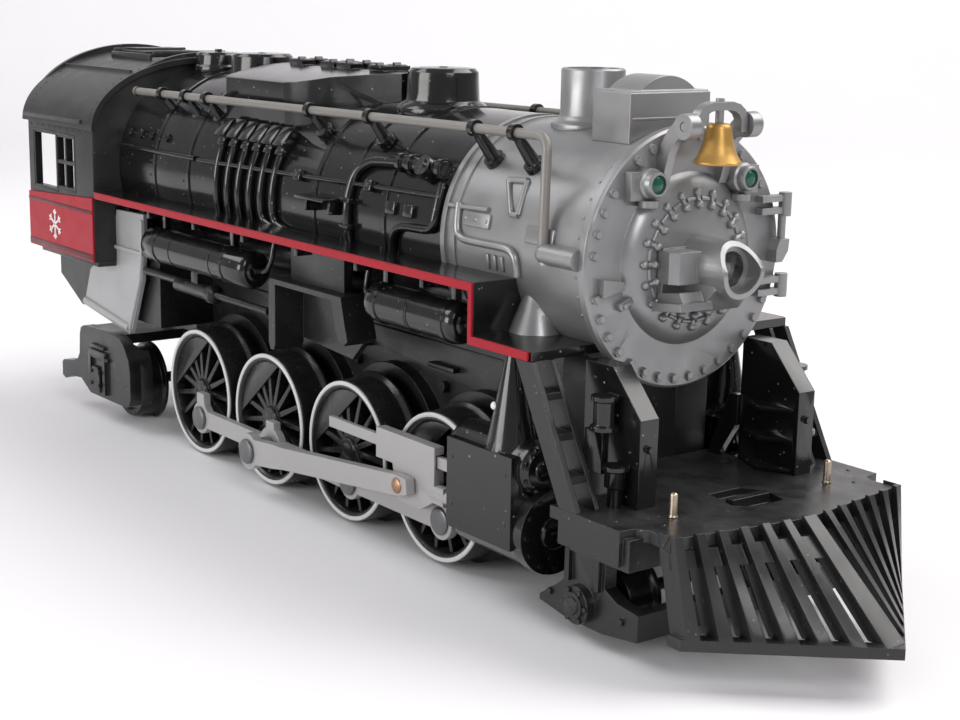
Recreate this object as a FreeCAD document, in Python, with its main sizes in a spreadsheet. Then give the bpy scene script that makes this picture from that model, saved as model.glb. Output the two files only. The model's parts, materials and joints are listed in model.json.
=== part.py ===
"""Toy steam locomotive, eight driving wheels, 45 mm gauge.

Millimetres. +X points forward, +Y to the locomotive's left, +Z up. The wheels stand on Z = 0.
"""
import FreeCAD, Part

import math
import os
import re

import Sketcher

V = FreeCAD.Vector
document = FreeCAD.newDocument("locomotive")

# ---------------------------------------------------------------------------
# driving dimensions
# ---------------------------------------------------------------------------

DIMENSIONS = {
    # running gear
    "axle_pitch": 43.4,
    "rear_axle_x": -67.0,
    "axle_height": 21.5,
    "tread_radius": 20.0,
    "flange_radius": 21.5,
    "wheel_back": 19.2,
    "flange_face": 21.0,
    "wheel_face": 30.0,
    "axle_radius": 2.0,
    "crank_long": 7.1,
    "crank_short": 5.8,
    "crank_pin_radius": 2.2,
    "pin_head_radius": 3.7,
    "side_rod_inner": 30.5,
    "side_rod_outer": 33.0,
    "main_rod_inner": 37.7,
    "main_rod_outer": 40.4,
    "main_rod_length": 78.06,
    "piston_height": 22.9,
    "piston_side": 36.0,
    "fit": 0.05,
    # frame
    "frame_rear": -104.0,
    "frame_front": 92.0,
    "frame_half": 11.5,
    "frame_bottom": 12.0,
    "frame_top": 56.5,
    "fender_radius": 23.5,
    "fender_half": 15.5,
    # boiler
    "boiler_height": 87.2,
    "boiler_radius": 30.2,
    "firebox_rise": 1.8,
    "shell_wall": 2.4,
    "boiler_front": 63.5,
    "smokebox_radius": 29.5,
    "smokebox_end": 118.0,
    "plate_back": 118.4,
    "plate_radius": 31.3,
    "plate_face": 121.0,
    # cab
    "cab_rear": -170.7,
    "cab_front": -117.8,
    "cab_half": 41.5,
    "cab_wall": 2.5,
    "cab_bottom": 57.1,
    "eave_height": 101.0,
    "roof_half": 42.3,
    "roof_rise": 23.5,
    # running boards
    "board_edge": 41.5,
    "board_top": 80.8,
    "board_thick": 2.2,
    "board_step": 93.0,
    "shelf_top": 68.0,
    "shelf_end": 115.5,
    # front end
    "deck_top": 34.3,
    "deck_bottom": 31.4,
    "nose_top_x": 164.5,
    "nose_bottom_x": 193.4,
    "pilot_bottom": 10.2,
    # trucks
    "pilot_axle_x": 127.0,
    "pilot_wheel_radius": 10.0,
    "pilot_pivot_x": 106.0,
    "trailing_axle_x": -123.5,
    "trailing_wheel_radius": 13.5,
    "trailing_pivot_x": -109.0,
    "drawbar_pivot_x": -148.0,
    "drawbar_hole_x": -188.4,
    "pivot_radius": 2.0,
    # bell
    "bell_x": 130.0,
    "bell_pivot_height": 119.0,
}

sheet = document.addObject("Spreadsheet::Sheet", "dims")
for row, (alias, size) in enumerate(DIMENSIONS.items(), start=1):
    sheet.set(f"A{row}", alias)
    sheet.set(f"B{row}", str(size))
    sheet.setAlias(f"B{row}", alias)
document.recompute()

# ---------------------------------------------------------------------------
# sizes: a number, or a sum of terms such as "wheel_face - 2"
# ---------------------------------------------------------------------------


def term(word):
    """One word of a size: a dimension's name or a number."""
    if word.lstrip("-") in DIMENSIONS:
        sign = -1 if word.startswith("-") else 1
        return sign * float(sheet.get(word.lstrip("-")))
    return float(word)


def number(size):
    """A size in millimetres. Words are added and subtracted from left to right."""
    words = str(size).split()
    total = term(words[0])
    for sign, word in zip(words[1::2], words[2::2]):
        total += term(word) if sign == "+" else -term(word)
    return total


def formula(size):
    """A size as an expression that refers to the sheet's cells."""
    return re.sub(r"[a-z]\w*", lambda word: "dims." + word.group(0), str(size))


def bind(thing, prop, size):
    """Sets a property to a size and keeps it tied to the sheet."""
    if isinstance(size, str):
        thing.setExpression(prop, formula(size))
    else:
        thing.setExpression(prop, str(float(size)))


def difference(high, low):
    return f"({high}) - ({low})"


TURN = {
    "x": FreeCAD.Rotation(V(0, 1, 0), 90),
    "y": FreeCAD.Rotation(V(1, 0, 0), -90),
    "z": FreeCAD.Rotation(),
}


def place(thing, base, rotation=None):
    """Puts a primitive at a point whose coordinates are sizes."""
    thing.Placement = FreeCAD.Placement(V(*[number(size) for size in base]), rotation or TURN["z"])
    for axis, size in zip("xyz", base):
        if isinstance(size, str):
            thing.setExpression(f"Placement.Base.{axis}", formula(size))


# ---------------------------------------------------------------------------
# primitives
# ---------------------------------------------------------------------------


def block(x, y, z):
    """A box from its (low, high) sizes along each axis."""
    thing = document.addObject("Part::Box", "block")
    for prop, (low, high) in zip(("Length", "Width", "Height"), (x, y, z)):
        thing.setExpression(prop, formula(difference(high, low)))
    place(thing, (x[0], y[0], z[0]))
    return thing


def cylinder(axis, centre, span, radius):
    """A cylinder along an axis. Centre is the two other coordinates, in XYZ order."""
    thing = document.addObject("Part::Cylinder", "cylinder")
    bind(thing, "Radius", radius)
    thing.setExpression("Height", formula(difference(span[1], span[0])))
    base = list(centre)
    base.insert("xyz".index(axis), span[0])
    place(thing, base, TURN[axis])
    return thing


def cone(axis, centre, span, radii):
    """A truncated cone along an axis, like cylinder()."""
    thing = document.addObject("Part::Cone", "cone")
    bind(thing, "Radius1", radii[0])
    bind(thing, "Radius2", radii[1])
    thing.setExpression("Height", formula(difference(span[1], span[0])))
    base = list(centre)
    base.insert("xyz".index(axis), span[0])
    place(thing, base, TURN[axis])
    return thing


def fuse(*pieces):
    thing = document.addObject("Part::MultiFuse", "fuse")
    thing.Shapes = list(pieces)
    return thing


def cut(base, *tools):
    thing = document.addObject("Part::Cut", "cut")
    thing.Base = base
    thing.Tool = tools[0] if len(tools) == 1 else fuse(*tools)
    return thing


def common(*pieces):
    thing = document.addObject("Part::MultiCommon", "common")
    thing.Shapes = list(pieces)
    return thing


def group(*pieces):
    """Separate solids in one sub-part."""
    thing = document.addObject("Part::Compound", "group")
    thing.Links = list(pieces)
    return thing


def mirrored(piece):
    """The same piece on the other side of the locomotive."""
    thing = document.addObject("Part::Mirroring", "mirrored")
    thing.Source = piece
    thing.Normal = V(0, 1, 0)
    return thing


def both_sides(piece):
    return group(piece, mirrored(piece))


# Each origin plane with the world axis of its sketch's u, v and normal directions.
PLANES = {"XY": "XY_Plane", "XZ": "XZ_Plane", "YZ": "YZ_Plane"}


def new_body(name="body"):
    return document.addObject("PartDesign::Body", name)


def new_sketch(body, plane, offset=(0, 0, 0)):
    """A sketch on one of the body's origin planes, moved by sizes in the sketch's own axes."""
    sketch = body.newObject("Sketcher::SketchObject", "sketch")
    found = [f for f in body.Origin.OriginFeatures if f.Role == PLANES[plane]]
    sketch.AttachmentSupport = [(found[0], "")]
    sketch.MapMode = "FlatFace"
    sketch.AttachmentOffset = FreeCAD.Placement(V(*[number(size) for size in offset]), TURN["z"])
    for axis, size in zip("xyz", offset):
        if isinstance(size, str):
            sketch.setExpression(f"AttachmentOffset.Base.{axis}", formula(size))
    return sketch


def fix_point(sketch, line, point):
    """Ties a line's start to its two sizes."""
    for kind, size in zip(("DistanceX", "DistanceY"), point):
        index = sketch.addConstraint(Sketcher.Constraint(kind, -1, 1, line, 1, number(size)))
        if isinstance(size, str):
            sketch.setExpression(f"Constraints[{index}]", formula(size))


def draw(sketch, outline):
    """A closed outline of straight sides through its corners."""
    corners = [V(number(u), number(v), 0) for u, v in outline]
    first = None
    count = len(corners)
    for index, corner in enumerate(corners):
        line = sketch.addGeometry(Part.LineSegment(corner, corners[(index + 1) % count]), False)
        first = line if first is None else first
    for index in range(count):
        following = first + (index + 1) % count
        sketch.addConstraint(Sketcher.Constraint("Coincident", first + index, 2, following, 1))
        fix_point(sketch, first + index, outline[index])


def draw_circle(sketch, centre, radius):
    middle = V(number(centre[0]), number(centre[1]), 0)
    line = sketch.addGeometry(Part.Circle(middle, V(0, 0, 1), number(radius)), False)
    index = sketch.addConstraint(Sketcher.Constraint("Radius", line, number(radius)))
    if isinstance(radius, str):
        sketch.setExpression(f"Constraints[{index}]", formula(radius))
    for kind, size in zip(("DistanceX", "DistanceY"), centre):
        index = sketch.addConstraint(Sketcher.Constraint(kind, -1, 1, line, 3, number(size)))
        if isinstance(size, str):
            sketch.setExpression(f"Constraints[{index}]", formula(size))


def prism(plane, span, outline, holes=()):
    """A body padded from one outline. Span is its (low, high) along the plane's world normal."""
    body = new_body()
    # A sketch on XZ faces -Y, so its pad runs from the high side to the low one.
    start = "0 - (" + str(span[1]) + ")" if plane == "XZ" else str(span[0])
    sketch = new_sketch(body, plane)
    sketch.setExpression("AttachmentOffset.Base.z", formula(start))
    draw(sketch, outline)
    for centre, radius in holes:
        draw_circle(sketch, centre, radius)
    pad = body.newObject("PartDesign::Pad", "pad")
    pad.Profile = sketch
    pad.setExpression("Length", formula(difference(span[1], span[0])))
    return body


def lathe(axis, centre, outline):
    """A body turned about an axis through centre, from (along, radius) points."""
    body = new_body()
    plane = "YZ" if axis == "y" else "XZ"
    x, y, z = centre
    offset = (y, z, x) if plane == "YZ" else (x, z, f"0 - {y}" if isinstance(y, str) else -y)
    sketch = new_sketch(body, plane, offset)
    points = [(r, a) for a, r in outline] if axis == "z" else outline
    draw(sketch, points)
    turned = body.newObject("PartDesign::Revolution", "turned")
    turned.Profile = sketch
    turned.ReferenceAxis = (sketch, ["V_Axis" if axis == "z" else "H_Axis"])
    turned.Angle = 360
    return body


def code_shape(shape):
    """A shape that neither a body nor a primitive can make."""
    thing = document.addObject("Part::Feature", "shape")
    thing.Shape = shape
    thing.Placement = FreeCAD.Placement()
    return thing


sub_parts = {}


def sub_part(name, thing):
    """Names the object that becomes one node."""
    thing.Label = name
    sub_parts[name] = thing
    return thing


AXLE_SIZES = ["rear_axle_x" + " + axle_pitch" * index for index in range(4)]
DRIVEN_AXLE = 1
MAIN_X = AXLE_SIZES[DRIVEN_AXLE]
HANDS = ("right", "left")


def crank(hand):
    """The crank pin's offset from its axle. The left cranks stand a quarter turn from the right ones."""
    return ("crank_short", "-crank_long") if hand == "right" else ("crank_long", "crank_short")


def pin_place(axle_x, hand):
    forward, up = crank(hand)
    return (f"{axle_x} + {forward}", f"axle_height {'- crank_long' if hand == 'right' else '+ ' + up}")


def on_hand(piece, hand):
    """Everything is drawn on the right. The left-hand one is its mirror image."""
    return piece if hand == "right" else mirrored(piece)


# ---------------------------------------------------------------------------
# outer surfaces that neighbouring pieces are trimmed to
# ---------------------------------------------------------------------------


def along_boiler(span, radius):
    return cylinder("x", (0, "boiler_height"), span, radius)


def along_firebox(span, radius):
    return cylinder("x", (0, "boiler_height + firebox_rise"), span, radius)


FIREBOX_END = -85.0
TAPER_END = -20.0


def boiler_outer():
    """A straight barrel, a wider firebox end that tapers into it, and five raised bands."""
    return fuse(
        along_boiler(("cab_front", "boiler_front"), "boiler_radius"),
        along_firebox(("cab_front", FIREBOX_END), "boiler_radius + firebox_rise"),
        cone(
            "x", (0, "boiler_height + firebox_rise"), (FIREBOX_END, TAPER_END),
            ("boiler_radius + firebox_rise", "boiler_radius - firebox_rise"),
        ),
        along_firebox((-92.8, -91.2), "boiler_radius + firebox_rise + 0.4"),
        along_firebox((-71.3, -69.7), "boiler_radius + 1.4"),
        *[along_boiler((x - 0.8, x + 0.8), "boiler_radius + 0.4") for x in (2.7, 20.3, 37.8)],
    )


def smokebox_outer():
    """The front barrel with its two joint rings and a steam-pipe cowl on each side."""
    return fuse(
        along_boiler(("boiler_front", "smokebox_end"), "smokebox_radius"),
        along_boiler(("boiler_front", 65.2), 30.3),
        along_boiler((67.8, 69.2), 30.0),
        *[cone("z", (96, side * 24.5), ("shelf_top", 79.0), (7.0, 2.4)) for side in (-1, 1)],
    )


# ---------------------------------------------------------------------------
# chassis
# ---------------------------------------------------------------------------

SCREW_STATIONS = (-99.0, 87.0)
SCREW_SIDE = 6.0
SCREW_RADIUS = 1.2
SHAFT_HEIGHT = 33.0
SHAFT_RADIUS = 1.0
MOTOR_RADIUS = 10.5


def screw_holes():
    places = [(x, y) for x in SCREW_STATIONS for y in (-SCREW_SIDE, SCREW_SIDE)]
    return [cylinder("z", place_xy, (5, 21), SCREW_RADIUS) for place_xy in places]


def post(x, span):
    """A pivot post under the frame with a wider head at its foot."""
    low, high = span
    return [cylinder("z", (x, 0), span, "pivot_radius"), cylinder("z", (x, 0), (low - 0.8, low), 3.6)]


def chassis_frame():
    """A hollow box between the wheels, with round covers, a saddle, the cab floor and arms to both trucks."""
    spine = block(("frame_rear", "frame_front"), ("-frame_half", "frame_half"), ("frame_bottom", "frame_top"))
    covers = [
        cylinder("y", (x, "axle_height"), ("-fender_half", "fender_half"), "fender_radius") for x in AXLE_SIZES
    ]
    below = block((-120, 120), (-20, 20), (-5, "frame_bottom"))
    cavity = block((-94, 82), (-9, 9), (10, 54))
    box = cut(fuse(spine, *covers), below, cavity)

    saddle = cut(
        fuse(
            block(("frame_rear", "boiler_front"), ("-frame_half", "frame_half"), ("frame_top", 64)),
            block((84, 108), ("-frame_half", "frame_half"), (31, 66)),
            block((86, 106), (-24, 24), (33.5, 65)),
            block((-117, -91.5), (-31, 31), (38, 67.5)),
        ),
        boiler_outer(), smokebox_outer(),
    )
    front_arm = block(("frame_front", 125), (-14, 14), (25, "deck_bottom"))
    rear_arm = block((-165, "frame_rear"), (-10, 10), (40, "cab_bottom"))
    cab_floor = block(
        ("cab_rear", "cab_front - cab_wall"), ("-cab_half + cab_wall", "cab_half - cab_wall"),
        ("cab_bottom", "cab_bottom + 2"),
    )
    bracket_outline = [
        (-168, "cab_bottom"), (-168, 46), (-150, 37), (-143, 38), (-135, 50), (-135, "cab_bottom"),
    ]
    brackets = [prism("XZ", span, bracket_outline) for span in ((-32.2, -30.2), (30.2, 32.2))]
    truck_slot = block(("frame_rear - 2", -98.5), (-13, 13), (28.4, 33.6))
    cradle = cut(
        block((-5, 13), (-9, 9), (18, 30)), cylinder("x", (0, SHAFT_HEIGHT), (-6, 14), MOTOR_RADIUS)
    )
    bearing = block((-38, -34), (-9, 9), (26, 54))
    posts = post("pilot_pivot_x", (20.2, 25)) + post("trailing_pivot_x", (28.4, 40)) + post("drawbar_pivot_x", (28.4, 40))
    whole = fuse(box, saddle, front_arm, rear_arm, cab_floor, *brackets, cradle, bearing, *posts)

    axle_bores = [cylinder("y", (x, "axle_height"), (-20, 20), "axle_radius + fit") for x in AXLE_SIZES]
    shaft_bore = cylinder("x", (0, SHAFT_HEIGHT), (-40, -32), f"{SHAFT_RADIUS} + fit")
    sub_part("chassis_frame", cut(whole, *axle_bores, shaft_bore, truck_slot, *screw_holes()))


def bottom_cover():
    plate = prism("XY", (9.7, "frame_bottom"), [(-103.5, -11), (91.5, -11), (91.5, 11), (-103.5, 11)])
    slots = [block((x - 12, x + 12), (-6.5, 6.5), (9, 10.4)) for x in (-45.3, -1.9, 41.5)]
    sub_part("bottom_cover", cut(plate, *slots, *screw_holes()))


def body_screws():
    """Four pan-head screws that hold the cover to the chassis."""
    screws = []
    profile = [(8.2, 0), (8.2, 2.1), (8.8, 2.6), (9.7, 2.6), (9.7, SCREW_RADIUS), (20, SCREW_RADIUS), (21, 0)]
    for x in SCREW_STATIONS:
        for y in (-SCREW_SIDE, SCREW_SIDE):
            slot = block((x - 2.8, x + 2.8), (y - 0.35, y + 0.35), (8, 8.8))
            screws.append(cut(lathe("z", (x, y, 0), profile), slot))
    sub_part("body_screws", group(*screws))


def motor():
    """A flat-sided can motor with a round brush cap."""
    can = cylinder("x", (0, SHAFT_HEIGHT), (-8, 15), MOTOR_RADIUS)
    flats = block((-9, 16), (-8.4, 8.4), (20, 46))
    cap = cylinder("x", (0, SHAFT_HEIGHT), (15, 17.5), 6.5)
    collar = cylinder("x", (0, SHAFT_HEIGHT), (-10, -8), 3.5)
    bore = cylinder("x", (0, SHAFT_HEIGHT), (-11, -3), f"{SHAFT_RADIUS} + fit")
    sub_part("motor", cut(fuse(common(can, flats), cap, collar), bore))


def worm_shaft():
    shaft = cylinder("x", (0, SHAFT_HEIGHT), (-37.6, -3.6), SHAFT_RADIUS)
    first, pitch, turns = -30.6, 2.0, 7
    thread = [(first, 0)]
    for turn in range(turns):
        thread += [(first + pitch * turn, 2.2), (first + pitch * (turn + 0.5), 3.0)]
    thread += [(first + pitch * turns, 2.2), (first + pitch * turns, 0)]
    sub_part("worm_shaft", fuse(shaft, lathe("x", (0, 0, SHAFT_HEIGHT), thread)))


def axle_gear():
    """A twenty-tooth wheel on the driven axle, under the worm."""
    teeth = 20
    root_radius, tip_radius, half_width = 7.2, 8.2, 2.0
    body = new_body()
    disc_sketch = new_sketch(body, "XZ", (0, 0, -half_width))
    draw_circle(disc_sketch, (0, 0), root_radius)
    draw_circle(disc_sketch, (0, 0), "axle_radius")
    disc = body.newObject("PartDesign::Pad", "disc")
    disc.Profile = disc_sketch
    disc.Length = 2 * half_width
    tooth_sketch = new_sketch(body, "XZ", (0, 0, -half_width))
    draw(tooth_sketch, [(root_radius - 0.4, -0.65), (tip_radius, -0.3), (tip_radius, 0.3), (root_radius - 0.4, 0.65)])
    tooth = body.newObject("PartDesign::Pad", "tooth")
    tooth.Profile = tooth_sketch
    tooth.Length = 2 * half_width
    document.recompute()
    pattern = body.newObject("PartDesign::PolarPattern", "teeth")
    pattern.Originals = [tooth]
    pattern.Axis = (tooth_sketch, ["N_Axis"])
    pattern.Angle = 360
    pattern.Occurrences = teeth
    body.Tip = pattern
    place(body, (MAIN_X, 0, "axle_height"))
    sub_part("axle_gear", body)


BOARD_POSTS = [(x, y) for x in (-54, 14) for y in (-8, 8)]


def circuit_board():
    """The control board on four posts in the bottom of the boiler."""
    board = block((-60, 20), (-12, 12), (64, 65.6))
    chips = [block((x, x + 9), (-4, 3), (65.6, 67.6)) for x in (-46, -22, 2)]
    capacitors = [cylinder("z", (x, 7), (65.6, 74), 2.6) for x in (-40, -10)]
    sub_part("circuit_board", fuse(board, *chips, *capacitors))


# ---------------------------------------------------------------------------
# boiler, smokebox and what stands on them
# ---------------------------------------------------------------------------


def boiler_shell():
    bore = along_boiler(("cab_front + shell_wall", "boiler_front + 1"), "boiler_radius - shell_wall")
    board_posts = [cylinder("z", xy, (59.4, 64), 1.5) for xy in BOARD_POSTS]
    sub_part("boiler_shell", fuse(cut(boiler_outer(), bore), *board_posts))


def smokebox_shell():
    bore = along_boiler(("boiler_front - 1", "smokebox_end + 1"), "smokebox_radius - shell_wall")
    sub_part("smokebox_shell", cut(smokebox_outer(), bore))


DOOR_CROWN = 125.0
DOOR_EDGE = [("plate_face", 20.6), (121.5, 20.2), (122.4, 19.4), (123.4, 17.4), (124.4, 13.0)]


def door_outer():
    """The domed door's outer ring, to trim what stands over it."""
    return lathe("x", (0, 0, "boiler_height"), [("plate_back", 0), ("plate_back", 20.6), *DOOR_EDGE, (124.4, 0)])


BOLTS_LEFT_OUT = (0, 1, 2, 4, 7, 10, 13, 18, 34, 35)  # where a lamp, an arm or a hinge covers the plate's edge


def smokebox_front():
    """The round front plate with a spigot behind, a domed door and a ring of bolts."""
    profile = [
        (115.5, 0), (115.5, "smokebox_radius - shell_wall"), ("plate_back", "smokebox_radius - shell_wall"),
        ("plate_back", "plate_radius"), ("plate_face - 0.6", "plate_radius"), ("plate_face", "plate_radius - 0.6"),
        *DOOR_EDGE, (DOOR_CROWN, 7.0),
        (DOOR_CROWN, 0),
    ]
    plate = lathe("x", (0, 0, "boiler_height"), profile)
    bolts = []
    count = 36
    for index in range(count):
        angle = 2 * math.pi * (index + 0.5) / count
        if index in BOLTS_LEFT_OUT:
            continue
        y, z = 29.3 * math.cos(angle), number("boiler_height") + 29.3 * math.sin(angle)
        bolts.append(cylinder("x", (y, z), (120, 121.7), 0.8))
    sub_part("smokebox_front", fuse(plate, *bolts))


def smokebox_hinges():
    """Two strap hinges and a lever on the left edge of the door, and a cleat on the right."""
    pieces = []
    for z in (98.5, 78.5):
        for low in (z - 2.3, z + 0.7):
            pieces.append(block(("plate_face", 123.4), (22.6, 31.6), (low, low + 1.6)))
        pieces.append(cylinder("z", (122.8, 31), (z - 2.9, z + 2.9), 1.6))
    lever = cylinder("z", (122.7, 30.3), (89, 98), 1.0)
    handle_outline = [(27.4, 84.4), (27.4, 87.4), (28.6, 90), (31.8, 90), (31.5, 87), (29.6, 84.4)]
    handle = prism("YZ", ("plate_face", 124.2), handle_outline)
    cleat = prism("YZ", ("plate_face", 123), [(-27, 80.2), (-27, 84.4), (-20.8, 83.4), (-20.8, 81.6)])
    sub_part("smokebox_hinges", group(fuse(*pieces, lever, handle), cleat))


HEADLIGHT_HEIGHT = 86.6
LENS_RADIUS = 4.2


def headlight():
    """A forward-facing lamp on a stepped bracket, with its bulb behind a clear lens."""
    barrel = cylinder("x", (0, HEADLIGHT_HEIGHT), (DOOR_CROWN, 135.2), 5.8)
    slant = prism("XZ", (-12, 12), [(133.6, 96), (140.6, 86.6), (139.4, 80), (146, 80), (146, 96)])
    hood = cut(cylinder("x", (0, HEADLIGHT_HEIGHT), (DOOR_CROWN, 140.4), 6.6), slant)
    pedestal = prism("XZ", (-5.6, 7), [(DOOR_CROWN, 76.4), (DOOR_CROWN, 86), (137, 86), (136.6, 82.0), (132, 76.4)])
    box_outline = [(DOOR_CROWN, -12.6), (129.6, -13.4), (131.6, -12), (131.6, -4), (DOOR_CROWN, -4)]
    side_box = prism("XY", (83.2, 90.6), box_outline)
    low_step = prism("XZ", (-14, -4), [(DOOR_CROWN, 76.4), (DOOR_CROWN, 78.4), (134.4, 79.4), (134.8, 77.6)])
    high_step = prism("XZ", (-12.2, -4), [(DOOR_CROWN, 78.2), (DOOR_CROWN, 80.6), (132.0, 81.4), (133.6, 79)])
    behind = block((123, DOOR_CROWN + 1), (-12, 8), (77.5, 91))
    door = cylinder("x", (0, "boiler_height"), (120, DOOR_CROWN), 7)
    rim = cone("x", (0, "boiler_height"), (124.4, DOOR_CROWN), (13, 7))
    shoulder = cone("x", (0, "boiler_height"), (123.4, 124.4), (17.4, 13))
    shoulder_low = cone("x", (0, "boiler_height"), (122.4, 123.4), (19.4, 17.4))
    socket = cylinder("x", (0, HEADLIGHT_HEIGHT), (129.5, 141), LENS_RADIUS)
    mouth = cylinder("x", (0, HEADLIGHT_HEIGHT), (136, 146), 5.3)
    tail = cylinder("x", (0, HEADLIGHT_HEIGHT), (126, 130), 1.5)
    housing = cut(
        fuse(barrel, hood, pedestal, side_box, low_step, high_step, behind),
        door, rim, shoulder, shoulder_low, socket, mouth, tail,
    )
    sub_part("headlight_housing", housing)
    lens_profile = [(134.9, 0), (134.9, LENS_RADIUS), (135.8, LENS_RADIUS), (136.3, 2.6), (136.5, 0)]
    sub_part("headlight_lens", lathe("x", (0, 0, HEADLIGHT_HEIGHT), lens_profile))
    bulb_profile = [(126, 0), (126, 1.5), (130, 1.5), (130.6, 1.9), (133, 1.9), (134.2, 1.2), (134.6, 0)]
    sub_part("headlight_bulb", lathe("x", (0, 0, HEADLIGHT_HEIGHT), bulb_profile))


MARKER_SIDE = 14.8
MARKER_HEIGHT = 105.8


def marker_lamps():
    """Two hooded lamps high on the front plate, each with a flat box behind and a round foot."""
    can_profile = [
        ("plate_face", 0), ("plate_face", 3.6), (124.4, 3.6), (124.8, 3.0), (126.4, 3.0), (126.8, 2.7), (126.8, 2.2),
        (125.4, 2.2), (125.4, 0),
    ]
    lens_profile = [(125.4, 0), (125.4, 2.2), (126.2, 2.2), (126.7, 1.2), (126.8, 0)]
    lamp = fuse(
        lathe("x", (0, -MARKER_SIDE, MARKER_HEIGHT), can_profile),
        block(("plate_face", 123.6), (-20.4, -13.4), (102.0, 108.6)),
        cylinder("z", (123.4, -MARKER_SIDE), (100.4, 102.0), 2.4),
    )
    lens = lathe("x", (0, -MARKER_SIDE, MARKER_HEIGHT), lens_profile)
    sub_part("marker_lamps", both_sides(cut(lamp, door_outer())))
    sub_part("marker_lenses", both_sides(lens))


def bell_bracket():
    """Two curved arms that rise from the front plate to the bell's pivots."""
    outline = [
        ("plate_face", 104.6), ("plate_face", 111.4), (121.8, 113.6), (123.0, 116.0), (124.6, 118.2), (126.6, 120.2),
        (128.8, 121.5), (131.4, 121.5), (131.4, 116.6), (129.6, 116.5), (127.6, 115.9), (126.2, 114.6), (125.0, 112.4),
        (124.0, 109.4), (123.2, 106.4), (122.4, 104.6),
    ]
    arm = prism("XZ", (-10.6, -8.2), outline)
    eye = cylinder("y", ("bell_x", "bell_pivot_height"), (-11.4, -8.2), 3.0)
    pivot = cylinder("y", ("bell_x", "bell_pivot_height"), (-20, -5), "1 + fit")
    sub_part("bell_bracket", both_sides(cut(fuse(arm, eye), pivot, door_outer())))


def bell_and_yoke():
    """The yoke arches over the bell and turns on pins in the two arms."""
    outer = [(-7.9, 117.4), (-7.9, 120.6), (-7.2, 122.4), (-5.4, 123.8), (-3.2, 124.4)]
    inner = [(-5.9, 117.4), (-5.9, 120.2), (-5.2, 121.4), (-3.8, 122.2), (-2.4, 122.5)]
    outline = outer + [(-y, z) for y, z in reversed(outer)]
    outline += [(-y, z) for y, z in inner] + list(reversed(inner))
    arch_piece = prism("YZ", ("bell_x - 1.3", "bell_x + 1.3"), outline)
    pins = [cylinder("y", ("bell_x", "bell_pivot_height"), span, 1.0) for span in ((-11.2, -6), (6, 11.2))]
    stud = cylinder("z", ("bell_x", 0), (119.5, 125.2), 1.0)
    sub_part("bell_yoke", fuse(arch_piece, *pins, stud))
    profile = [
        (119.5, 0), (119.5, 2.2), (119.0, 2.8), (117.0, 3.2), (114.4, 3.7), (112.6, 4.4), (111.2, 5.2), (110.6, 5.6),
        (110.2, 5.4), (110.2, 5.0), (112.4, 3.8), (114.4, 3.1), (117.0, 2.6), (118.2, 2.2), (118.2, 0),
    ]
    sub_part("bell", lathe("z", ("bell_x", 0, 0), profile))


def smokestack():
    profile = [
        (110, 6.4), (110, 10.6), (116.4, 10.2), (117.4, 8.6), (118.6, 8.0), (129.6, 8.0), (130, 7.6), (130, 6.4),
    ]
    sub_part("smokestack", cut(lathe("z", (85.5, 0, 0), profile), smokebox_outer()))


def feedwater_heater():
    """A box across the top of the smokebox with a low arch on its lid."""
    case = block((100.5, 113.8), (-12.8, 12.8), (104, 125.6))
    lid = block((100.9, 113.4), (-12.4, 12.4), (125.2, 126.1))
    low_arch = common(cylinder("x", (0, 116.4), (101.6, 112.8), 13.1), block((101, 113), (-9.2, 9.2), (125.8, 130)))
    sub_part("feedwater_heater", cut(fuse(case, lid, low_arch), smokebox_outer()))


LID_CORNERS = [(-52, -5.2), (-52, 0.8), (-34, -5.2), (-34, 0.8), (-25, -5.2), (-25, 0.8), (-9, -4.2), (-9, 0.6)]


def boiler_top_casing():
    """The long casing on the boiler with its prow and hatches, the sand dome and the two rear domes."""
    half_plan = [(-60, 22.6), (-59, 23.5), (-25, 23.5), (-19.5, 22.4), (-15, 19.8), (-11, 16), (9, 5)]
    plan = prism("XY", (98, 128), [(x, -y) for x, y in half_plan] + [(x, y) for x, y in reversed(half_plan)])
    half_crown = [(24, 98), (24, 120.4), (23.2, 121.2), (21.6, 121.8), (16, 123.2), (9, 124.6), (3, 125.2)]
    crown = prism("YZ", (-62, 10), [(-y, z) for y, z in half_crown] + list(reversed(half_crown)))
    lids = [block((x, x + 7.4), (y, y + 4.6), (122, 126.6)) for x, y in LID_CORNERS]
    domes = [
        lathe("z", (-78, 0, 0), [(104, 0), (104, 10.6), (119, 10.2), (120, 9.9), (126.4, 9.9), (127.3, 9.0), (127.3, 0)]),
        lathe("z", (-107, 0, 0), [(104, 0), (104, 8.2), (122, 8.0), (122.6, 7.4), (125.8, 7.4), (126.6, 6.6), (126.6, 0)]),
        lathe(
            "z", (22, 0, 0),
            [(104, 0), (104, 13.4), (116.4, 12.8), (117.4, 11.8), (118.4, 10.2), (126.2, 9.8), (127.2, 8.8), (127.2, 0)],
        ),
    ]
    sub_part("boiler_top_casing", cut(fuse(common(plan, crown), *lids, *domes), boiler_outer()))


RAIL_SIDE = 28.4
RAIL_REAR_HEIGHT = 114.0
RAIL_FRONT_HEIGHT = 115.5
RAIL_RADIUS = 1.2
STANCHIONS = (-92.0, -76.2, -62.4, -2.0, 28.4, 74.9, 90.8)


def rail_height(x):
    share = (x + 110.7) / (100.5 + 110.7)
    return RAIL_REAR_HEIGHT + (RAIL_FRONT_HEIGHT - RAIL_REAR_HEIGHT) * share


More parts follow.
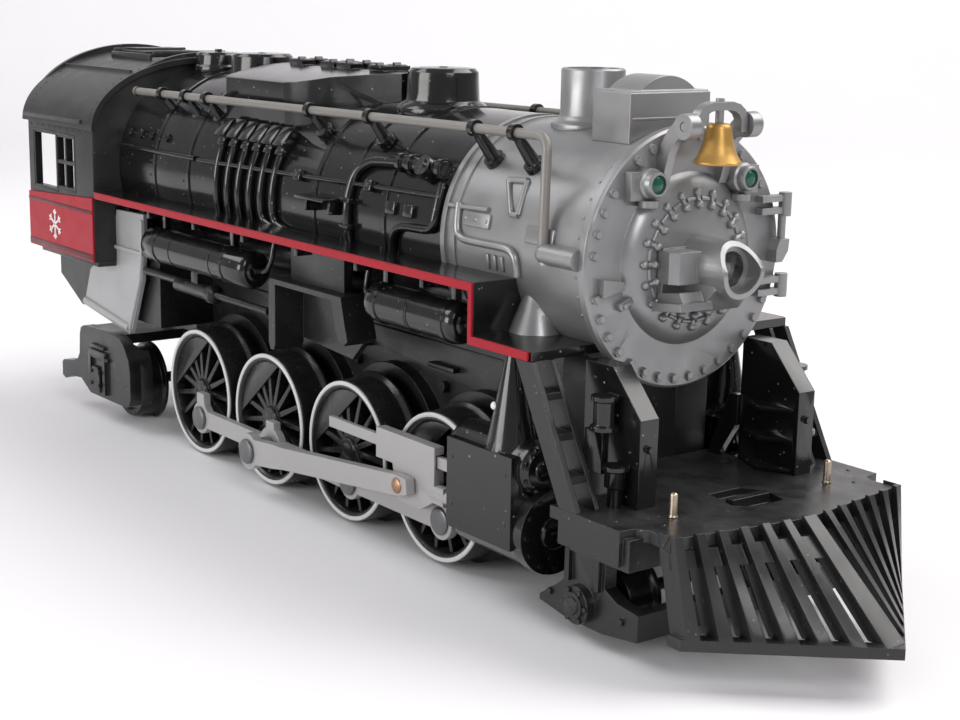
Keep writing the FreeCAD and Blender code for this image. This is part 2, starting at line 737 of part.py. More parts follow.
def tube(points, radius):
    """A round rod along straight runs and arcs. A step with two points is an arc through the first."""
    edges = []
    for start, end in zip(points, points[1:]):
        if len(end) == 2:
            edges.append(Part.Arc(V(*start[-1]), V(*end[0]), V(*end[1])).toShape())
        else:
            edges.append(Part.LineSegment(V(*start[-1]), V(*end[0])).toShape())
    path = Part.Wire(edges)
    tangent = V(*points[1][0]) - V(*points[0][0])
    circle = Part.Wire([Part.Circle(V(*points[0][0]), tangent, radius).toShape()])
    return path.makePipeShell([circle], True, True)


def handrails():
    """A long rail each side that turns down the smokebox and ends in an elbow at the front plate."""
    bend = 4.0
    early = bend * (1 - math.sqrt(0.5))
    corner_x, foot_x, foot_z, low_side = 103.6, 105.6, 88.2, 31.1
    route = [
        ((-110.7, -RAIL_SIDE, RAIL_REAR_HEIGHT),),
        ((corner_x - bend, -RAIL_SIDE, rail_height(corner_x - bend)),),
        ((corner_x - early, -RAIL_SIDE - 0.2, RAIL_FRONT_HEIGHT - early), (corner_x, -RAIL_SIDE - 0.6, RAIL_FRONT_HEIGHT - bend)),
        ((foot_x, -low_side, foot_z + 3),),
        ((foot_x + 3 * (1 - math.sqrt(0.5)), -low_side, foot_z + 3 * (1 - math.sqrt(0.5))), (foot_x + 3, -low_side, foot_z)),
        ((number("plate_back"), -low_side, foot_z),),
    ]
    sub_part("handrails", both_sides(code_shape(tube(route, RAIL_RADIUS))))


def boiler_core():
    """The boiler's outside once more, as one shape to trim the stanchions with."""
    height, radius, rise = number("boiler_height"), number("boiler_radius"), number("firebox_rise")
    along = V(1, 0, 0)
    barrel = Part.makeCylinder(radius + 0.4, 200, V(-130, 0, height), along)
    taper = Part.makeCone(radius + rise, radius - rise, TAPER_END - FIREBOX_END, V(FIREBOX_END, 0, height + rise), along)
    rear = Part.makeCylinder(radius + rise + 0.4, FIREBOX_END + 130, V(-130, 0, height + rise), along)
    return barrel.fuse([taper, rear])


def handrail_stanchions():
    """Posts that lean out from the boiler to rings around the rail."""
    lean = math.radians(42)
    height = number("boiler_height")
    smokebox = Part.makeCylinder(number("smokebox_radius"), 60, V(60, 0, height), V(1, 0, 0))
    posts = []
    for x in STANCHIONS:
        on_boiler = x < number("boiler_front")
        foot = V(x, -28.4 * math.cos(lean), height + 28.4 * math.sin(lean))
        top = V(x, -RAIL_SIDE, rail_height(x))
        reach = top - foot
        pillar = Part.makeCone(2.1, 1.3, reach.Length - RAIL_RADIUS - 0.2, foot, reach)
        foot_ring = Part.makeCylinder(2.7, 4.2 if on_boiler else 2.4, foot, reach)
        ring = Part.makeCylinder(RAIL_RADIUS + 0.9, 1.8, top - V(0.9, 0, 0), V(1, 0, 0))
        slope = V(1, 0, (RAIL_FRONT_HEIGHT - RAIL_REAR_HEIGHT) / (100.5 + 110.7))
        hole = Part.makeCylinder(RAIL_RADIUS, 4, top - slope * 2, slope)
        solid = pillar.fuse([foot_ring, ring]).cut([hole, boiler_core() if on_boiler else smokebox])
        posts.append(code_shape(solid.removeSplitter()))
    right = group(*posts)
    sub_part("handrail_stanchions", both_sides(right))


# ---------------------------------------------------------------------------
# cab
# ---------------------------------------------------------------------------


def arch(x, half, rise):
    """A half-ellipse solid along X, flat at the eaves."""
    curve = document.addObject("Part::Ellipse", "ellipse")
    bind(curve, "MajorRadius", half)
    bind(curve, "MinorRadius", rise)
    place(curve, (x[0], 0, "eave_height"), FreeCAD.Rotation(V(1, 1, 1), 120))
    drum = document.addObject("Part::Extrusion", "drum")
    drum.Base = curve
    drum.Dir = V(1, 0, 0)
    drum.Solid = True
    drum.setExpression("LengthFwd", formula(difference(x[1], x[0])))
    lower = block((-200, -100), (-50, 50), (60, "eave_height"))
    return cut(drum, lower)


def cab_shell():
    """Side walls with an open window and a four-pane one, and the front wall up to the roof."""
    windows = [block((-165.2, -147.2), (-45, 45), (79, 97.3))]
    for x in (-146.2, -139.0):
        for z in (80.1, 89.1):
            windows.append(block((x, x + 6.0), (-45, 45), (z, z + 7.8)))
    outer = block(("cab_rear", "cab_front"), ("-cab_half", "cab_half"), ("cab_bottom", "eave_height"))
    inner = block(
        ("cab_rear - 1", "cab_front - cab_wall"), ("-cab_half + cab_wall", "cab_half - cab_wall"), (50, 110)
    )
    front = arch(("cab_front - cab_wall", "cab_front"), "roof_half - 2", "roof_rise - 2")
    sub_part("cab_shell", cut(fuse(cut(outer, inner), front), *windows))


def roof_rim(x, half, rise):
    """A raised rim that follows the arch of the roof."""
    return cut(arch(x, half, rise), arch((x[0] + " - 1", x[1] + " + 1"), half, "roof_rise - 1"))


def cab_roof():
    """A thin arch with raised end rims, eave strips, two long ribs and a hatch."""
    shell = arch(("cab_rear - 3.3", "cab_front + 1.3"), "roof_half", "roof_rise")
    rear_rim = roof_rim(("cab_rear - 3.3", "cab_rear - 1.3"), "roof_half - 2", "roof_rise + 2.6")
    front_rim = roof_rim(("cab_front - 2", "cab_front"), "roof_half - 6", "roof_rise + 1.6")
    eaves = [block((-172, -124.4), span, (102.6, 104.0)) for span in ((-42.9, -41), (41, 42.9))]
    ribs = [block(("cab_rear - 1.3", "cab_front - 2"), span, (112, 120.4)) for span in ((-26.6, -25.4), (25.4, 26.6))]
    hatch = block((-162, -138), (-12, 12), (118, 125.6))
    lid = block((-160, -150), (-9, 9), (125.6, 126.4))
    inner = arch(("cab_rear - 5", "cab_front + 3"), "roof_half - 2", "roof_rise - 2")
    sub_part("cab_roof", cut(fuse(shell, rear_rim, front_rim, *eaves, *ribs, hatch, lid), inner))


def cab_side_panels():
    """The lower half of each side wall is a separate red plate."""
    outline = [("cab_rear", "cab_bottom"), ("cab_rear", 76.1), ("cab_front", 78.6), ("cab_front", "cab_bottom")]
    sub_part("cab_side_panels", both_sides(prism("XZ", ("-cab_half - 0.7", "-cab_half"), outline)))


# ---------------------------------------------------------------------------
# running boards and what hangs below them
# ---------------------------------------------------------------------------

BOARD_BOTTOM = "board_top - board_thick"
SHELF_BOTTOM = "shelf_top - board_thick"


def running_boards():
    """A long board each side that steps down beside the smokebox, with hangers for the ash-pan plates."""
    upper = block(("cab_front", "board_step"), ("-board_edge", -20), (BOARD_BOTTOM, "board_top"))
    riser = block(("board_step - 1.5", "board_step"), ("-board_edge", -16), (SHELF_BOTTOM, "board_top"))
    shelf = block(("board_step - 1.5", "shelf_end"), ("-board_edge", -14), (SHELF_BOTTOM, "shelf_top"))
    hangers = [block((x, x + 4), (-32.4, -29.5), (68, BOARD_BOTTOM)) for x in (-115, -103)]
    right = cut(fuse(upper, riser, shelf, *hangers), boiler_outer(), smokebox_outer())
    sub_part("running_boards", both_sides(right))


def edge_stripes():
    """The red edge: along the board, down the step and along the shelf."""
    y = ("-board_edge - 0.7", "-board_edge")
    long_run = block((-116, "board_step"), y, (BOARD_BOTTOM, "board_top"))
    drop = block(("board_step - 1.5", "board_step"), y, (SHELF_BOTTOM, "board_top"))
    low_run = block(("board_step - 1.5", "shelf_end - 0.9"), y, (SHELF_BOTTOM, "shelf_top"))
    sub_part("edge_stripes", both_sides(fuse(long_run, drop, low_run)))


def ash_pan_plates():
    """The pale grey firebox side plates, flared to the rear below a ledge."""
    outline = [
        (-117, 74.5), (-97, 75), (-97.5, 62), (-99, 53), (-108, 33.7), (-144.7, 38.5), (-139, 51.5), (-121, 62),
    ]
    plate = prism("XZ", (-33.8, -32.4), outline)
    ledge = block((-121, -97.5), (-34.6, -33.8), (61.4, 62.6))
    foot = prism("XZ", (-34.4, -33.8), [(-108, 33.7), (-144.7, 38.5), (-144.2, 40.1), (-107.4, 35.3)])
    under_cab = block(("cab_rear", "cab_front"), (-42, 42), ("cab_bottom", 110))
    sub_part("ash_pan_plates", both_sides(cut(fuse(plate, ledge, foot), under_cab)))


TANK_SIDE = -34.0
REAR_TANK_HEIGHT = 66.8
REAR_TANK_RADIUS = 5.6


def tank(x, z, radius, bands):
    """A closed tank with rounded ends, two straps and their hangers."""
    low, high = x
    body = lathe(
        "x", (0, TANK_SIDE, z),
        [(low, 0), (low, radius - 1.6), (low + 0.5, radius - 0.6), (low + 1.6, radius), (high - 1.6, radius),
         (high - 0.5, radius - 0.6), (high, radius - 1.6), (high, 0)],
    )
    straps = [cylinder("x", (TANK_SIDE, z), (band - 1, band + 1), radius + 0.35) for band in bands]
    hangers = [block((band - 1, band + 1), (TANK_SIDE - 1, TANK_SIDE + 1), (z, BOARD_BOTTOM)) for band in bands]
    return fuse(body, *straps, *hangers)


def air_tanks():
    rear = tank((-89, -23), REAR_TANK_HEIGHT, REAR_TANK_RADIUS, (-80, -36))
    front = tank((41, 80.5), 68.0, 5.3, (46, 76))
    sub_part("air_tanks", group(rear, front, mirrored(rear), mirrored(front)))


def reverse_gear():
    """The slim reversing cylinder and its rods, hung from the rear tank."""
    barrel = lathe(
        "x", (0, -33, 55.5),
        [(-74, 0), (-74, 2.3), (-53, 2.3), (-52.6, 2.9), (-50, 2.9), (-49.2, 1.4), (-49.2, 0)],
    )
    front_rod = cylinder("x", (-33, 55.5), (-49.4, -17.7), 1.1)
    rear_rod = cylinder("x", (-33, 56.5), (-97.6, -73), 1.2)
    hanger = cut(block((-64, -60), (-34, -32), (56, 64)), cylinder("x", (TANK_SIDE, REAR_TANK_HEIGHT), (-66, -58), REAR_TANK_RADIUS))
    sub_part("reverse_gear", both_sides(fuse(barrel, front_rod, rear_rod, hanger)))


def link_brackets():
    """The hanger frame of the valve gear: a top plate, a back plate and two legs."""
    top = block((-10.7, 27), (-36.6, -25), (65.2, 66.8))
    back = prism("XZ", (-27, -25), [(-10, 66), (-10, 49), (18, 47), (25, 54), (25, 66)])
    rear_leg = prism("XZ", (-36.6, -27), [(-11.6, 66), (-11.6, 48), (-10.6, 46), (-8.8, 46), (-8, 48), (-8, 66)])
    front_leg = prism(
        "XZ", (-36.6, -27), [(22, 66), (23.6, 60), (25.6, 54.8), (28.4, 53.6), (30.2, 55), (28.6, 60), (27, 66)]
    )
    hanger = block((-6, 22), (-32.4, -29.6), (66, BOARD_BOTTOM))
    sub_part("link_brackets", both_sides(fuse(top, back, rear_leg, front_leg, hanger)))


# ---------------------------------------------------------------------------
# cylinders and front end
# ---------------------------------------------------------------------------

PISTON_RADIUS = 1.7
CHEST = (-34.0, 38.3)
BARREL = (-31.0, 22.9)


def cylinder_blocks():
    """A valve chest over a larger cylinder, a flat outer cover, and the steam pipe up to the shelf."""
    chest = lathe(
        "x", (0, CHEST[0], CHEST[1]),
        [(81, 0), (81, 4.8), (82.6, 6.4), (84.4, 6.7), (98, 6.7), (98, 7.3), (100.2, 7.3), (100.2, 6.7), (102.6, 6.7),
         (102.6, 7.3), (105, 7.3), (105, 6.4), (110.6, 6.2), (112, 4.8), (112, 0)],
    )
    barrel = cylinder("x", BARREL, (84, 111.4), 10.0)
    barrel_rim = cylinder("x", BARREL, (109.6, 113), 10.5)
    gland = cylinder("x", ("-piston_side", "piston_height"), (81.8, 84.6), 3.6)
    cover = block((84, 109.5), (-42, -27), (19, 41.7))
    arm = block((86, 108), (-30, "-frame_half"), (25, "deck_bottom"))
    pipe = cone("z", (101, -35), (40, SHELF_BOTTOM), (7.0, 1.8))
    bore = cylinder("x", ("-piston_side", "piston_height"), (60, 109), f"{PISTON_RADIUS} + fit")
    inside = block((70, 120), (-26, 0), (12, 25))
    frame_arm = block(("frame_front", 130), (-14, 14), (20, 36))
    right = cut(fuse(chest, barrel, barrel_rim, gland, cover, arm, pipe), bore, inside, frame_arm)
    sub_part("cylinder_blocks", both_sides(right))


GUIDE = {"y": (-36.5, -35.1), "z": (29.8, 32.8)}


def crosshead_guides():
    """A single slide bar behind each cylinder, held at the valve chest by a lug."""
    bar = block((21, 80.9), GUIDE["y"], GUIDE["z"])
    lug = cut(block((77.5, 84), (-36.5, -34), (32.8, 39)), cylinder("x", CHEST, (76, 90), 6.75))
    stem = block((77.5, 81), (-36.5, -34), (32.8, 39))
    sub_part("crosshead_guides", both_sides(fuse(bar, lug, stem)))


DECK_RIGHT = [(108, -24), (124, -24), (124, -42), (147.7, -42), (148.4, -37.6), (151, -36), (158.2, -36.8)]


def deck_outline():
    nose = [("nose_top_x - 1", -2), ("nose_top_x - 1", 2)]
    return DECK_RIGHT + nose + [(x, -y) for x, y in reversed(DECK_RIGHT)]


def front_deck():
    """The plate over the pilot with heavy beam ends, a coupler pocket and its bar."""
    plate = prism("XY", ("deck_bottom", "deck_top"), deck_outline())
    beams = []
    for y in ((-42, -31), (31, 42)):
        beams.append(block((127, 147.7), y, (26, "deck_bottom + 1")))
    for y in ((-40.8, -31), (31, 40.8)):
        beams.append(block((130, 149.8), y, (25, "deck_bottom + 1")))
    pocket = prism("XY", (32.6, 36), [(138, -5.5), (147.4, -7.4), (151, -3.6), (150.6, 6), (142.6, 8), (138, 4.4)])
    bar = block((143.8, 146.2), (-6, 6), (32.6, 34.9))
    sub_part("front_deck", fuse(cut(fuse(plate, *beams), pocket), bar))


SLATS = 6
SLAT_DEPTH = 5.2
SLAT_RISE = 0.7
BAND_HEIGHT = 2.6


def pilot_point(share, side, z):
    """A point on the pilot's sloping front: share 0 at the nose, 1 at the outer corner."""
    top = V(number("nose_top_x") - 5.0 * share, side * 36.8 * share, number("deck_top") + SLAT_RISE)
    foot = V(number("nose_bottom_x") - 0.3 - 31.0 * share, side * 36.3 * share, number("pilot_bottom") + BAND_HEIGHT)
    return top + (foot - top) * ((top.z - z) / (top.z - foot.z))


def closed(corners):
    return Part.makePolygon(corners + corners[:1])


def slat_section(index, side, z, low):
    """A slat's outline at its head or its foot. Slat 0 is the flat bar down the nose."""
    first, pitch, width = (0.083, 0.1483, 0.064) if low else (0.052, 0.158, 0.056)
    outer = pilot_point(first + pitch * index, side, z)
    inner = pilot_point(first + pitch * index - width, side, z) if index else V(outer.x, -outer.y, outer.z)
    back = V(-SLAT_DEPTH, 0, 0)
    return closed([outer, inner, inner + back, outer + back])


def front_wall(low, high, recess, depth, slope_z=None):
    """A wall along both sides of the V between two heights, set back from the slats' front."""
    walls = []
    for side in (-1, 1):
        ends = []
        for z in (low, high):
            nose, corner = [pilot_point(share, side, slope_z or z) - V(recess, 0, 0) for share in (0, 1)]
            nose.z = corner.z = z
            back = V(-depth, 0, 0)
            ends.append(closed([nose, corner, corner + back, nose + back]))
        walls.append(Part.makeLoft(ends, True, True))
    return walls


def pilot():
    """The V-shaped guard: upright band at the foot, tapering slats up to the deck and a rail behind their heads."""
    top = number("deck_top") + SLAT_RISE
    foot = number("pilot_bottom") + BAND_HEIGHT
    solids = front_wall(number("pilot_bottom"), foot, 0, 4.2, foot) + front_wall(27.4, 31.3, 2.2, 3.0)
    for side in (-1, 1):
        for index in range(1 if side > 0 else 0, SLATS + 1):
            sections = [slat_section(index, side, foot, True), slat_section(index, side, top, False)]
            solids.append(Part.makeLoft(sections, True, True))
    guard = solids[0].fuse(solids[1:]).removeSplitter()
    outline = [V(number(x), number(y), number("deck_bottom")) for x, y in deck_outline()]
    plate = Part.Face(closed(outline)).extrude(V(0, 0, 5))
    sub_part("pilot", code_shape(guard.cut(plate).removeSplitter()))


def lift_pins():
    """Two brass posts on the deck."""
    profile = [("deck_top", 0), ("deck_top", 1.1), ("deck_top + 0.3", 1.1), ("deck_top + 0.5", 0.9), (39.6, 0.9),
               (40, 0.5), (40, 0)]
    sub_part("lift_pins", group(*[lathe("z", (146.6, y, 0), profile) for y in (-25.1, 25.1)]))


LADDER_TOP_X, LADDER_FOOT_X = 110.0, 127.0
LADDER_WIDTH = 6.2


def ladders():
    """A leaning ladder each side: two flat rails and three treads."""
    top, foot = number(SHELF_BOTTOM), number("deck_top")
    rail = [
        (LADDER_TOP_X, SHELF_BOTTOM), (LADDER_TOP_X + LADDER_WIDTH, SHELF_BOTTOM),
        (LADDER_FOOT_X + LADDER_WIDTH, "deck_top"), (LADDER_FOOT_X, "deck_top"),
    ]
    outer = prism("XZ", (-42, -40.5), rail)
    inner = prism("XZ", (-36.2, -35), rail)
    treads = []
    for z in (59, 50.5, 41.5):
        x = LADDER_TOP_X + (LADDER_FOOT_X - LADDER_TOP_X) * (top - z) / (top - foot)
        treads.append(prism("XZ", (-40.8, -36), [(x + 0.5, z - 1.6), (x + 0.2, z), (x + 5.8, z), (x + 6.2, z - 1.6)]))
    sub_part("ladders", both_sides(fuse(outer, inner, *treads)))


def pump_shields():
    """A thick folded shield each side of the deck, with V-shaped steps inside and two pumps outside."""
    outline = [(119, "deck_top"), (119, 65.6), (128.5, 65.6), (138.4, 54.9), (138.4, "deck_top")]
    plate = prism("XZ", (-28.3, -22.9), outline)
    steps = []
    for z in (50, 42.5, 35):
        steps.append(prism("XY", (z - 0.5, z + 0.5), [(120, -23), (129.4, -18.6), (137, -23)]))
    brace = prism(
        "XZ", (-23.4, -21.4), [(119.6, 51), (119.6, 44), (113.6, "deck_top"), (109.6, "deck_top"), (116.8, 51)]
    )
    upper_pump = lathe(
        "z", (129, -31, 0),
        [(51.4, 0), (51.4, 3.2), (52.4, 3.2), (52.8, 2.5), (58, 2.5), (58.4, 3.2), (59.4, 3.2), (59.4, 0)],
    )
    lower_pump = lathe(
        "z", (133, -30.6, 0),
        [("deck_top", 0), ("deck_top", 1.7), (38.6, 1.7), (39, 2.5), (42.6, 2.5), (42.9, 3.1), (43.9, 3.1), (43.9, 0)],
    )
    stud = cylinder("x", (-25.6, 48), (138, 139.6), 0.9)
    sub_part("pump_shields", both_sides(fuse(plate, *steps, brace, upper_pump, lower_pump, stud)))


# ---------------------------------------------------------------------------
# wheels and rods
# ---------------------------------------------------------------------------

SPOKES = 15
WEB_DEPTH = 6.0


def driving_wheel(hand):
    """A wheel turned about Y at the origin, with spokes, crank boss and counterweight."""
    body = new_body("wheel")
    sketch = new_sketch(body, "YZ")
    draw(sketch, [
        ("-wheel_back", "axle_radius"), ("-wheel_back", "flange_radius - 0.5"), ("-wheel_back - 0.5", "flange_radius"),
        ("-wheel_back - 1.2", "flange_radius"), ("-flange_face", "flange_radius - 0.8"),
        ("-flange_face - 0.5", "tread_radius + 0.2"), ("-wheel_face + 0.4", "tread_radius"),
        ("-wheel_face", "tread_radius - 0.4"), ("-wheel_face", 18.0), ("-wheel_face + 0.6", 17.4),
        (f"-wheel_face + {WEB_DEPTH}", 16.8), (f"-wheel_face + {WEB_DEPTH}", 4.6), ("-wheel_face + 0.6", 4.0),
        ("-wheel_face", 3.6), ("-wheel_face", "axle_radius"),
    ])
    turned = body.newObject("PartDesign::Revolution", "turned")
    turned.Profile = sketch
    turned.ReferenceAxis = (sketch, ["H_Axis"])
    turned.Angle = 360
    web = number("wheel_face") - WEB_DEPTH

    def raised(name, outline, height):
        """A pad of the given height on the web: an outline of corners, or a circle's centre and radius."""
        drawn = new_sketch(body, "XZ", (0, 0, web))
        if isinstance(outline, tuple):
            draw_circle(drawn, outline[0], outline[1])
        else:
            draw(drawn, outline)
        pad = body.newObject("PartDesign::Pad", name)
        pad.Profile = drawn
        pad.Length = height
        return pad, drawn

    spoke, spoke_sketch = raised("spoke", [(3.8, -0.85), (17.2, -0.6), (17.2, 0.6), (3.8, 0.85)], WEB_DEPTH - 1.2)
    document.recompute()
    pattern = body.newObject("PartDesign::PolarPattern", "spokes")
    pattern.Originals = [spoke]
    pattern.Axis = (spoke_sketch, ["N_Axis"])
    pattern.Angle = 360
    pattern.Occurrences = SPOKES
    body.Tip = pattern
    document.recompute()

    pin = crank(hand)
    throw = math.hypot(number(pin[0]), number(pin[1]))
    angle = math.atan2(number(pin[1]), number(pin[0]))
    reach = V(math.cos(angle), math.sin(angle), 0)
    side = V(-reach.y, reach.x, 0)
    arm = [side * 3.8, side * 4.1 + reach * throw, reach * throw - side * 4.1, side * -3.8]
    raised("crank_boss", (pin, 4.5), WEB_DEPTH - 0.1)
    raised("crank_arm", [(p.x, p.y) for p in arm], WEB_DEPTH - 0.3)
    weight = []
    for step in range(-6, 7):
        bearing = angle + math.pi + math.radians(9.0) * step
        weight.append((17.3 * math.cos(bearing), 17.3 * math.sin(bearing)))
    raised("counterweight", weight, WEB_DEPTH - 0.7)
    document.recompute()
    return body


def wheel_with_hole(hand):
    pin_hole = cylinder("y", crank(hand), (-40, "-wheel_back - 0.8"), "crank_pin_radius")
    axle_hole = cylinder("y", (0, 0), (-40, -10), "axle_radius")
    return on_hand(cut(driving_wheel(hand), pin_hole, axle_hole), hand)


def crank_pin(axle_x, hand, driven, thick):
    """A turned pin with a wide head. The driven one carries a collar between its two rods."""
    head = "main_rod_outer" if driven else "side_rod_outer"
    profile = [
        (f"-{head} - {thick}", 0), (f"-{head} - {thick}", "pin_head_radius - 0.6"),
        (f"-{head} - {thick} + 0.3", "pin_head_radius"),
        (f"-{head} - 0.1", "pin_head_radius"), (f"-{head} - 0.1", "crank_pin_radius"),
    ]
    if driven:
        profile += [
            ("-main_rod_inner + 0.1", "crank_pin_radius"), ("-main_rod_inner + 0.1", 3.4),
            ("-side_rod_outer - 0.1", 3.4), ("-side_rod_outer - 0.1", "crank_pin_radius"),
        ]
    profile += [("-wheel_back - 0.8", "crank_pin_radius"), ("-wheel_back - 0.8", 0)]
    x, z = pin_place(axle_x, hand)
    return on_hand(lathe("y", (x, 0, z), profile), hand)


def driving_wheelsets():
    """Four axles, each with a pair of wheels and a pair of crank pins."""
    for index, x in enumerate(AXLE_SIZES):
        wheels = group(*[wheel_with_hole(hand) for hand in HANDS])
        place(wheels, (x, 0, "axle_height"))
        sub_part(f"driving_wheels_{index + 1}", wheels)
        shaft = cylinder("y", (x, "axle_height"), ("-wheel_face + 0.2", "wheel_face - 0.2"), "axle_radius")
        thick = 0.8 if index == 3 else 1.2  # the foremost heads pass inside the crossheads
        pins = [crank_pin(x, hand, index == DRIVEN_AXLE, thick) for hand in HANDS]
        sub_part(f"driving_axle_{index + 1}", group(shaft, *pins))


def side_rods():
    """One long coupling rod each side, with an eye at every crank pin."""
    span = ("-side_rod_outer", "-side_rod_inner")
    for hand in HANDS:
        eyes, bores = [], []
        for index, axle_x in enumerate(AXLE_SIZES):
            x, z = pin_place(axle_x, hand)
            main = index == DRIVEN_AXLE
            eyes.append(cylinder("y", (x, z), span, 6.2 if main else 5.0))
            if index <= DRIVEN_AXLE:
                cup = [(f"{x} - 2.8", z), (f"{x} - 2.2", f"{z} + 8"), (f"{x} + 2.2", f"{z} + 8"), (f"{x} + 2.8", z)]
                eyes.append(prism("XZ", span, cup))
            clearance = "fit" if main else "0.35"
            bores.append(cylinder("y", (x, z), (-45, -25), f"crank_pin_radius + {clearance}"))
        first, z = pin_place(AXLE_SIZES[0], hand)
        last = pin_place(AXLE_SIZES[-1], hand)[0]
        beam = block((first, last), span, (f"{z} - 2.7", f"{z} + 2.7"))
        sub_part(f"side_rod_{hand}", on_hand(cut(fuse(beam, *eyes), *bores), hand))


def crosshead_pivot(hand):
    """Where the main rod meets the crosshead, from the crank's position and the rod's length."""
    pin_x, pin_z = [number(size) for size in pin_place(MAIN_X, hand)]
    rise = number("piston_height") - pin_z
    return pin_x + math.sqrt(number("main_rod_length") ** 2 - rise ** 2)


def main_rods():
    """A tapered connecting rod each side, from the driven crank pin to a rivet at the crosshead."""
    span = ("-main_rod_outer", "-main_rod_inner")
    rivet_profile = [
        ("-main_rod_outer - 0.7", 0), ("-main_rod_outer - 0.6", 1.3), ("-main_rod_outer - 0.2", 1.9),
        ("-main_rod_outer", 1.9), ("-main_rod_outer", 1.2), ("-main_rod_inner", 1.2), ("-main_rod_inner", 0),
    ]
    for hand in HANDS:
        place_sizes = pin_place(MAIN_X, hand)
        pin = V(number(place_sizes[0]), number(place_sizes[1]), 0)
        front = V(crosshead_pivot(hand), number("piston_height"), 0)
        along = (front - pin).normalize()
        across = V(-along.y, along.x, 0)
        upper = [pin + across * 3.8, pin + along * 14 + across * 3.6, pin + along * 20 + across * 3.2, front + across * 2.8]
        tip = front + along * 4.4
        upper.append(tip + across * 2.0)
        lower = [point - across * (2 * across.dot(point - pin)) for point in reversed(upper)]
        beam = prism("XZ", span, [(p.x, p.y) for p in upper + lower])
        big_end = cylinder("y", place_sizes, span, 5.4)
        bore = cylinder("y", place_sizes, (-45, -30), "crank_pin_radius + fit")
        rivet_hole = cylinder("y", (front.x, front.y), (-45, -30), 1.2)
        rod = cut(fuse(beam, big_end), bore, rivet_hole)
        rivet = lathe("y", (front.x, 0, front.y), rivet_profile)
        sub_part(f"main_rod_{hand}", on_hand(group(rod, rivet), hand))


def crossheads():
    """A channel that rides on the slide bar, with the piston rod that enters the cylinder."""
    for hand in HANDS:
        shift = crosshead_pivot(hand) - 59.5
        head = block((45.5 + shift, 72 + shift), (-37.4, -34.4), (27, 35.2))
        plate = prism(
            "XZ", (-37.4, -34.4),
            [(53 + shift, 28), (55.4 + shift, 17.5), (66 + shift, 17.5), (72 + shift, 21), (72 + shift, 28)],
        )
        boss = cylinder("x", ("-piston_side", "piston_height"), (70 + shift, 76 + shift), 2.6)
        keeper = block((70 + shift, 78 + shift), (-40, -37.4), (18, 28))
        channel = block((40 + shift, 80 + shift), (-36.9, -30), (29.5, 33.1))
        rod = cylinder("x", ("-piston_side", "piston_height"), (71 + shift, 104 + shift), PISTON_RADIUS)
        pin_room = block((40 + shift, 82 + shift), (-34.3, -30), (10, 40))
        solid = fuse(cut(fuse(head, plate, boss), channel, keeper, pin_room), rod)
        sub_part(f"crosshead_{hand}", on_hand(solid, hand))


# ---------------------------------------------------------------------------
# trucks and drawbar
# ---------------------------------------------------------------------------


def small_wheelset(name, x, radius, back, axle_radius, axle_half):
    """A pair of flanged disc wheels on one axle."""
    face = back + 8.6
    wheel = lathe("y", (x, 0, radius), [
        (-back, axle_radius), (-back, radius), (-back - 1.1, radius), (-back - 1.8, f"{radius} - 1.3"),
        (-face + 0.4, f"{radius} - 1.5"), (-face, f"{radius} - 1.9"), (-face, f"{radius} - 3.4"),
        (-face + 1.4, f"{radius} - 4.0"), (-face + 1.4, 3.2), (-face + 0.2, 2.8), (-face + 0.2, axle_radius),
    ])
    axle = cylinder("y", (x, radius), (-axle_half, axle_half), axle_radius)
    sub_part(name, group(wheel, mirrored(wheel), axle))


def pilot_truck():
    """The leading truck: side frames, a front bar, a cross plate and a tongue to its pivot."""
    outline = [
        (111.4, 7.8), (119.8, 13.6), (120.6, 15), (120.6, 23.6), (134.6, 23.6), (134.6, 15.6), (139, 13.4),
        (146, 12.6), (146, 6.2), (134, 4.6), (121, 4.8), (111.4, 6.4),
    ]
    side = prism("XZ", (-34, -30.4), outline)
    journal = cylinder("y", ("pilot_axle_x", "pilot_wheel_radius"), (-36.4, -33), 4.6)
    cap = cylinder("y", ("pilot_axle_x", "pilot_wheel_radius"), (-37.2, -36.4), 3.2)
    ribs = [block((x - 0.8, x + 0.8), (-35.2, -33.8), (14.6, 22.4)) for x in (122.4, 132.8)]
    axle_hole = cylinder("y", ("pilot_axle_x", "pilot_wheel_radius"), (-33.6, -25), "1.5 + fit")
    right = cut(fuse(side, journal, cap, *ribs), axle_hole)
    front_bar = block((142.6, 146), (-34, 34), (6.2, 12.6))
    cross = block((120.6, 134.6), (-34, 34), (21.2, 23.6))
    tongue = block((100.5, 122), (-6, 6), (21.2, 23.6))
    pivot = cylinder("z", ("pilot_pivot_x", 0), (10, 30), "pivot_radius + fit")
    sub_part("pilot_truck_frame", cut(fuse(right, mirrored(right), front_bar, cross, tongue), pivot))


